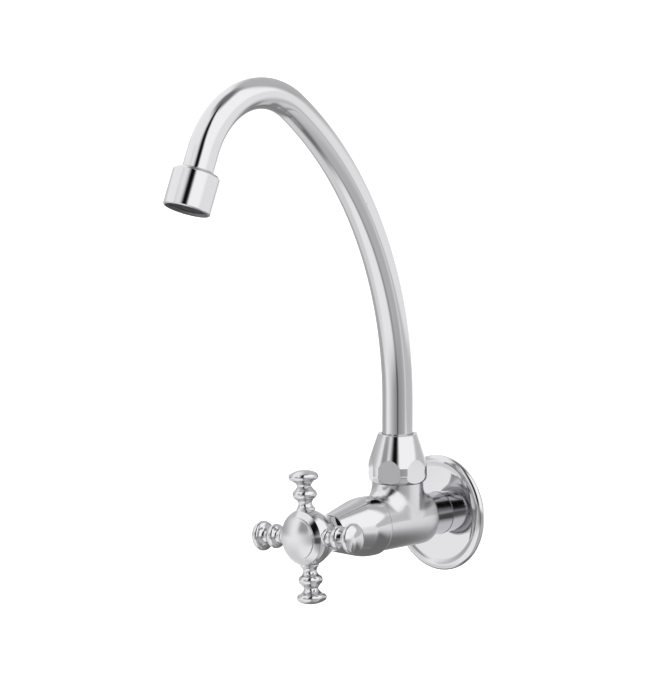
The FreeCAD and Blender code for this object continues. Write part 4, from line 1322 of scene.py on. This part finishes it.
@dataclass(frozen=True)
class Patch(Effect):
    """One soft-edged patch, laid over the light so far; its last seven inputs are a panel's fields."""

    name: str = "studio_patch"
    inputs: Sequence[str] = (
        "Azimuth", "Elevation", "Light", "Middle", "Half width", "Height", "Half height", "Soft side",
        "Soft level", "Brightness",
    )
    output: str = "Light"

    def fill(self, wiring: Wiring, given: Given) -> Socket:
        """Wire the patch's two pairs of edges and blend its brightness in."""
        away = wiring.math("SUBTRACT", given["Azimuth"], given["Middle"])
        aside = wiring.math("ABSOLUTE", wiring.math("WRAP", away, 180.0, -180.0))
        above = wiring.math("ABSOLUTE", wiring.math("SUBTRACT", given["Elevation"], given["Height"]))
        masks = []
        for value, half, soft in (
            (aside, given["Half width"], given["Soft side"]),
            (above, given["Half height"], given["Soft level"]),
        ):
            reach = wiring.math("MULTIPLY", soft, 0.5)
            inner, outer = wiring.math("SUBTRACT", half, reach), wiring.math("ADD", half, reach)
            masks.append(wiring.span(value, inner, outer, 1.0, 0.0))
        change = wiring.math("SUBTRACT", given["Brightness"], given["Light"])
        return wiring.math("MULTIPLY_ADD", change, wiring.math("MULTIPLY", *masks), given["Light"])


@dataclass(frozen=True)
class Card:
    """An upright card near the tap that only its mirrors see, clear at its soft edges: a painted reflection
    that lays painted shade and painted light on the nearby chrome.

    Attributes:
        name: The card's name.
        across: The level axis that it stands along, 0 for X and 1 for Y.
        stand: Where it stands on the other level axis, in metres.
        sides: Its two ends along that axis, each from clear to full, in metres.
        levels: Its bottom and its top, each from clear to full, in metres.
        dark: How bright it is at its darkest.
        light: How bright it is at its lightest.
        shade: The heights between which it goes from dark to light, in metres.
        reach: The lengths of the mirrored ray over which it fades away, in metres.
    """

    name: str
    across: int
    stand: float
    sides: Edges
    levels: Edges
    dark: float
    light: float
    shade: Span
    reach: Span

    def build(self) -> None:
        """Hang the card."""
        bm = bmesh.new()
        height = self.levels[-1] - self.levels[0]
        middle = Vector((self.stand, self.stand, (self.levels[0] + self.levels[-1]) / 2.0))
        middle[self.across] = (self.sides[0] + self.sides[-1]) / 2.0
        turn = Matrix.Rotation(math.radians(90.0), 4, "XY"[self.across])
        widths = [height, height, 1.0, 1.0]
        widths[self.across] = self.sides[-1] - self.sides[0]
        at = Matrix.Translation(middle) @ turn @ Matrix.Diagonal(widths)
        bmesh.ops.create_grid(bm, x_segments=1, y_segments=1, size=0.5, matrix=at)
        card = add_object(self.name, bm, self._material())
        card.visible_camera = False
        card.visible_diffuse = False
        card.visible_shadow = False

    def _material(self) -> bpy.types.Material:
        """Wire the card's glow, the painted reflection, which clears towards its edges and with the distance,
        so that only the nearby chrome shows it.

        Returns:
            The card's material.
        """
        material, wiring = blank_material(self.name + "_glow")
        parts = wiring.add("ShaderNodeSeparateXYZ", {0: wiring.where()}).outputs
        along, up = parts[self.across], parts["Z"]
        mask = wiring.span(wiring.add("ShaderNodeLightPath").outputs["Ray Length"], *self.reach, 1.0, 0.0)
        for value, edges in ((along, self.sides), (up, self.levels)):
            mask = wiring.math("MULTIPLY", mask, wiring.span(value, *edges[:2], 0.0, 1.0))
            mask = wiring.math("MULTIPLY", mask, wiring.span(value, *edges[2:], 1.0, 0.0))
        level = wiring.span(up, *self.shade, self.dark, self.light)
        glow = wiring.add("ShaderNodeEmission", {"Strength": level}).outputs[0]
        clear = wiring.add("ShaderNodeBsdfTransparent").outputs[0]
        seen = wiring.add("ShaderNodeMixShader", {0: mask, 1: clear, 2: glow})
        wiring.add("ShaderNodeOutputMaterial", {"Surface": seen.outputs[0]})
        return material


# Painted reflections: cards that only the nearby chrome mirrors, most of them darker towards the bottom,
# which lay painted shade and painted light on the tap.
CARDS = (
    Card(
        "back_card", across=0, stand=0.03, sides=(-0.2, -0.19, 0.38, 0.4), levels=(-0.6, -0.59, -0.002, 0.0),
        dark=0.22, light=1.09, shade=(-0.078, -0.008), reach=(0.19, 0.27),
    ),
    Card(
        "foot_card", across=0, stand=0.034, sides=(0.03, 0.09, 0.42, 0.55), levels=(-0.6, -0.5, -0.13, -0.04),
        dark=0.26, light=0.6, shade=(-0.22, -0.06), reach=(0.4, 0.5),
    ),
    Card(
        "left_card", across=1, stand=-0.31, sides=(-0.42, -0.14, 0.2, 0.3), levels=(-0.06, -0.01, 0.2, 0.28),
        dark=0.6, light=0.78, shade=(0.02, 0.12), reach=(0.6, 0.8),
    ),
    Card(
        "right_card", across=0, stand=0.06, sides=(-0.01, 0.02, 0.28, 0.4),
        levels=(0.003, 0.022, 0.065, 0.095), dark=0.78, light=0.78, shade=(0.0, 0.1), reach=(0.35, 0.5),
    ),
)


@dataclass
class Studio:
    """The floor, the light and the camera."""

    floor_height: float = -0.32
    floor_size: float = 60.0
    floor_cells: int = 4
    floor_colour: Colour = (0.9, 0.9, 0.9)
    floor_rough: float = 0.9
    floor_glow: float = 0.6
    azimuth: float = 42.5
    elevation: float = 7.7
    distance: float = 2.5
    aim: Triple = (-0.02776, -0.06124, 0.08920)
    focal_px: float = 4850.0
    image_height: float = 700.0
    sensor: float = 36.0
    sight: float = 200.0
    room: float = 0.66
    cards: Sequence[Card] = CARDS
    panels: Mapping[str, Panel] = field(
        default_factory=lambda: {
            "left_wall": Panel(-63.0, 69.0, 41.5, 48.0, 27.0, 21.0, 1.29),
            "right_box": Panel(96.0, 51.5, 33.5, 41.0, 15.0, 30.0, 1.44),
            "back_wall": Panel(183.0, 37.5, 58.5, 31.5, 29.0, 22.0, 0.7),
            "left_floor": Panel(-49.0, 78.0, -50.0, 50.5, 19.0, 10.5, 0.98),
            "left_horizon": Panel(-44.0, 30.0, -6.0, 15.0, 40.0, 24.0, 1.28),
            "floor_glow": Panel(7.5, 45.0, -44.0, 30.0, 34.0, 33.0, 1.29),
            "right_floor": Panel(76.0, 38.0, -46.0, 47.0, 24.0, 11.0, 0.68),
            "far_floor": Panel(137.0, 33.0, -31.5, 35.0, 32.5, 23.5, 0.93),
            "wall_foot": Panel(195.0, 42.0, -53.0, 31.0, 24.0, 18.0, 0.34),
            "horizon": Panel(140.0, 38.0, -6.0, 15.0, 28.0, 14.0, 1.2),
            "wall_line": Panel(200.0, 34.0, -6.0, 12.0, 22.0, 14.0, 1.12),
            "ceiling": Panel(0.0, 400.0, 91.0, 20.0, 12.0, 19.0, 0.26),
            "shade_below": Panel(0.0, 400.0, -93.0, 17.0, 15.0, 19.0, 0.24),
            "near_dark": Panel(37.0, 37.0, -7.5, 11.0, 76.0, 15.0, 0.44),
            "camera_gap": Panel(29.5, 14.0, 46.0, 40.5, 17.0, 17.0, 0.007),
            "camera_foot": Panel(46.0, 6.0, -39.5, 38.0, 12.0, 12.0, 0.44),
            "camera_line": Panel(42.0, 5.0, -8.0, 10.0, 8.5, 8.0, 0.12),
            "camera_side": Panel(-18.0, 14.0, 16.0, 13.0, 14.0, 14.0, 0.48),
        }
    )

    def build(self) -> None:
        """Set up everything that isn't part of the tap."""
        self._floor()
        # Hang the cards of painted reflection.
        for card in self.cards:
            card.build()
        self._surround()
        self._camera()

    def _floor(self) -> None:
        """Lay a plain pale floor."""
        bm = bmesh.new()
        at = Matrix.Translation((0.0, 0.0, self.floor_height))
        cells = self.floor_cells
        bmesh.ops.create_grid(bm, x_segments=cells, y_segments=cells, size=self.floor_size / 2.0, matrix=at)
        material, wiring = blank_material("pale_floor")
        inputs = {
            "Base Color": (*self.floor_colour, 1.0),
            "Roughness": self.floor_rough,
            "Emission Color": WHITE,
            "Emission Strength": self.floor_glow,
        }
        surface = wiring.add("ShaderNodeBsdfPrincipled", inputs)
        wiring.add("ShaderNodeOutputMaterial", {"Surface": surface.outputs[0]})
        floor = add_object("floor", bm, material)
        floor.visible_glossy = False

    def _surround(self) -> None:
        """Hang the soft studio round the tap; the camera itself sees plain white."""
        world = bpy.data.worlds.new("studio")
        bpy.context.scene.world = world
        world.use_nodes = True
        world.node_tree.nodes.clear()
        wiring = Wiring(world.node_tree)
        facing = wiring.add("ShaderNodeTexCoord").outputs["Generated"]
        parts = wiring.add("ShaderNodeSeparateXYZ", {0: facing}).outputs
        out = wiring.math("MULTIPLY", parts["Y"], -1.0)
        azimuth = wiring.math("DEGREES", wiring.math("ARCTAN2", parts["X"], out))
        elevation = wiring.math("DEGREES", wiring.math("ARCSINE", parts["Z"]))
        light: Value = self.room
        patch = Patch()
        for panel in self.panels.values():
            light = patch.place(wiring, azimuth, elevation, light, *astuple(panel))
        seen = wiring.add("ShaderNodeLightPath").outputs["Is Camera Ray"]
        level = wiring.math("MAXIMUM", light, seen)
        backdrop = wiring.add("ShaderNodeBackground", {"Color": WHITE, "Strength": level})
        wiring.add("ShaderNodeOutputWorld", {"Surface": backdrop.outputs[0]})

    def _camera(self) -> None:
        """Stand the camera where the photographer stood."""
        turn, tilt = math.radians(self.azimuth), math.radians(self.elevation)
        away = Vector((math.sin(turn) * math.cos(tilt), -math.cos(turn) * math.cos(tilt), math.sin(tilt)))
        data = bpy.data.cameras.new("camera")
        data.sensor_width = self.sensor
        data.lens = self.focal_px / self.image_height * self.sensor
        data.clip_end = self.sight
        camera = bpy.data.objects.new("camera", data)
        camera.location = Vector(self.aim) + away * self.distance
        camera.rotation_euler = away.to_track_quat("Z", "Y").to_euler()
        bpy.context.scene.collection.objects.link(camera)
        bpy.context.scene.camera = camera
        bpy.context.scene.view_settings.view_transform = "Standard"


def main() -> None:
    """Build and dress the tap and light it."""
    logging.basicConfig(level=logging.INFO, format="%(name)s %(message)s")
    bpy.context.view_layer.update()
    spout = Spout()
    tap = (WallFlange(), Casting(), BONNET, Gland(), CrossHandle(), SPOUT_NUT, spout, Nozzle(spout))
    for assembly in (*tap, InnerWorks(), Studio()):
        assembly.build()


if __name__ == "__main__":
    main()
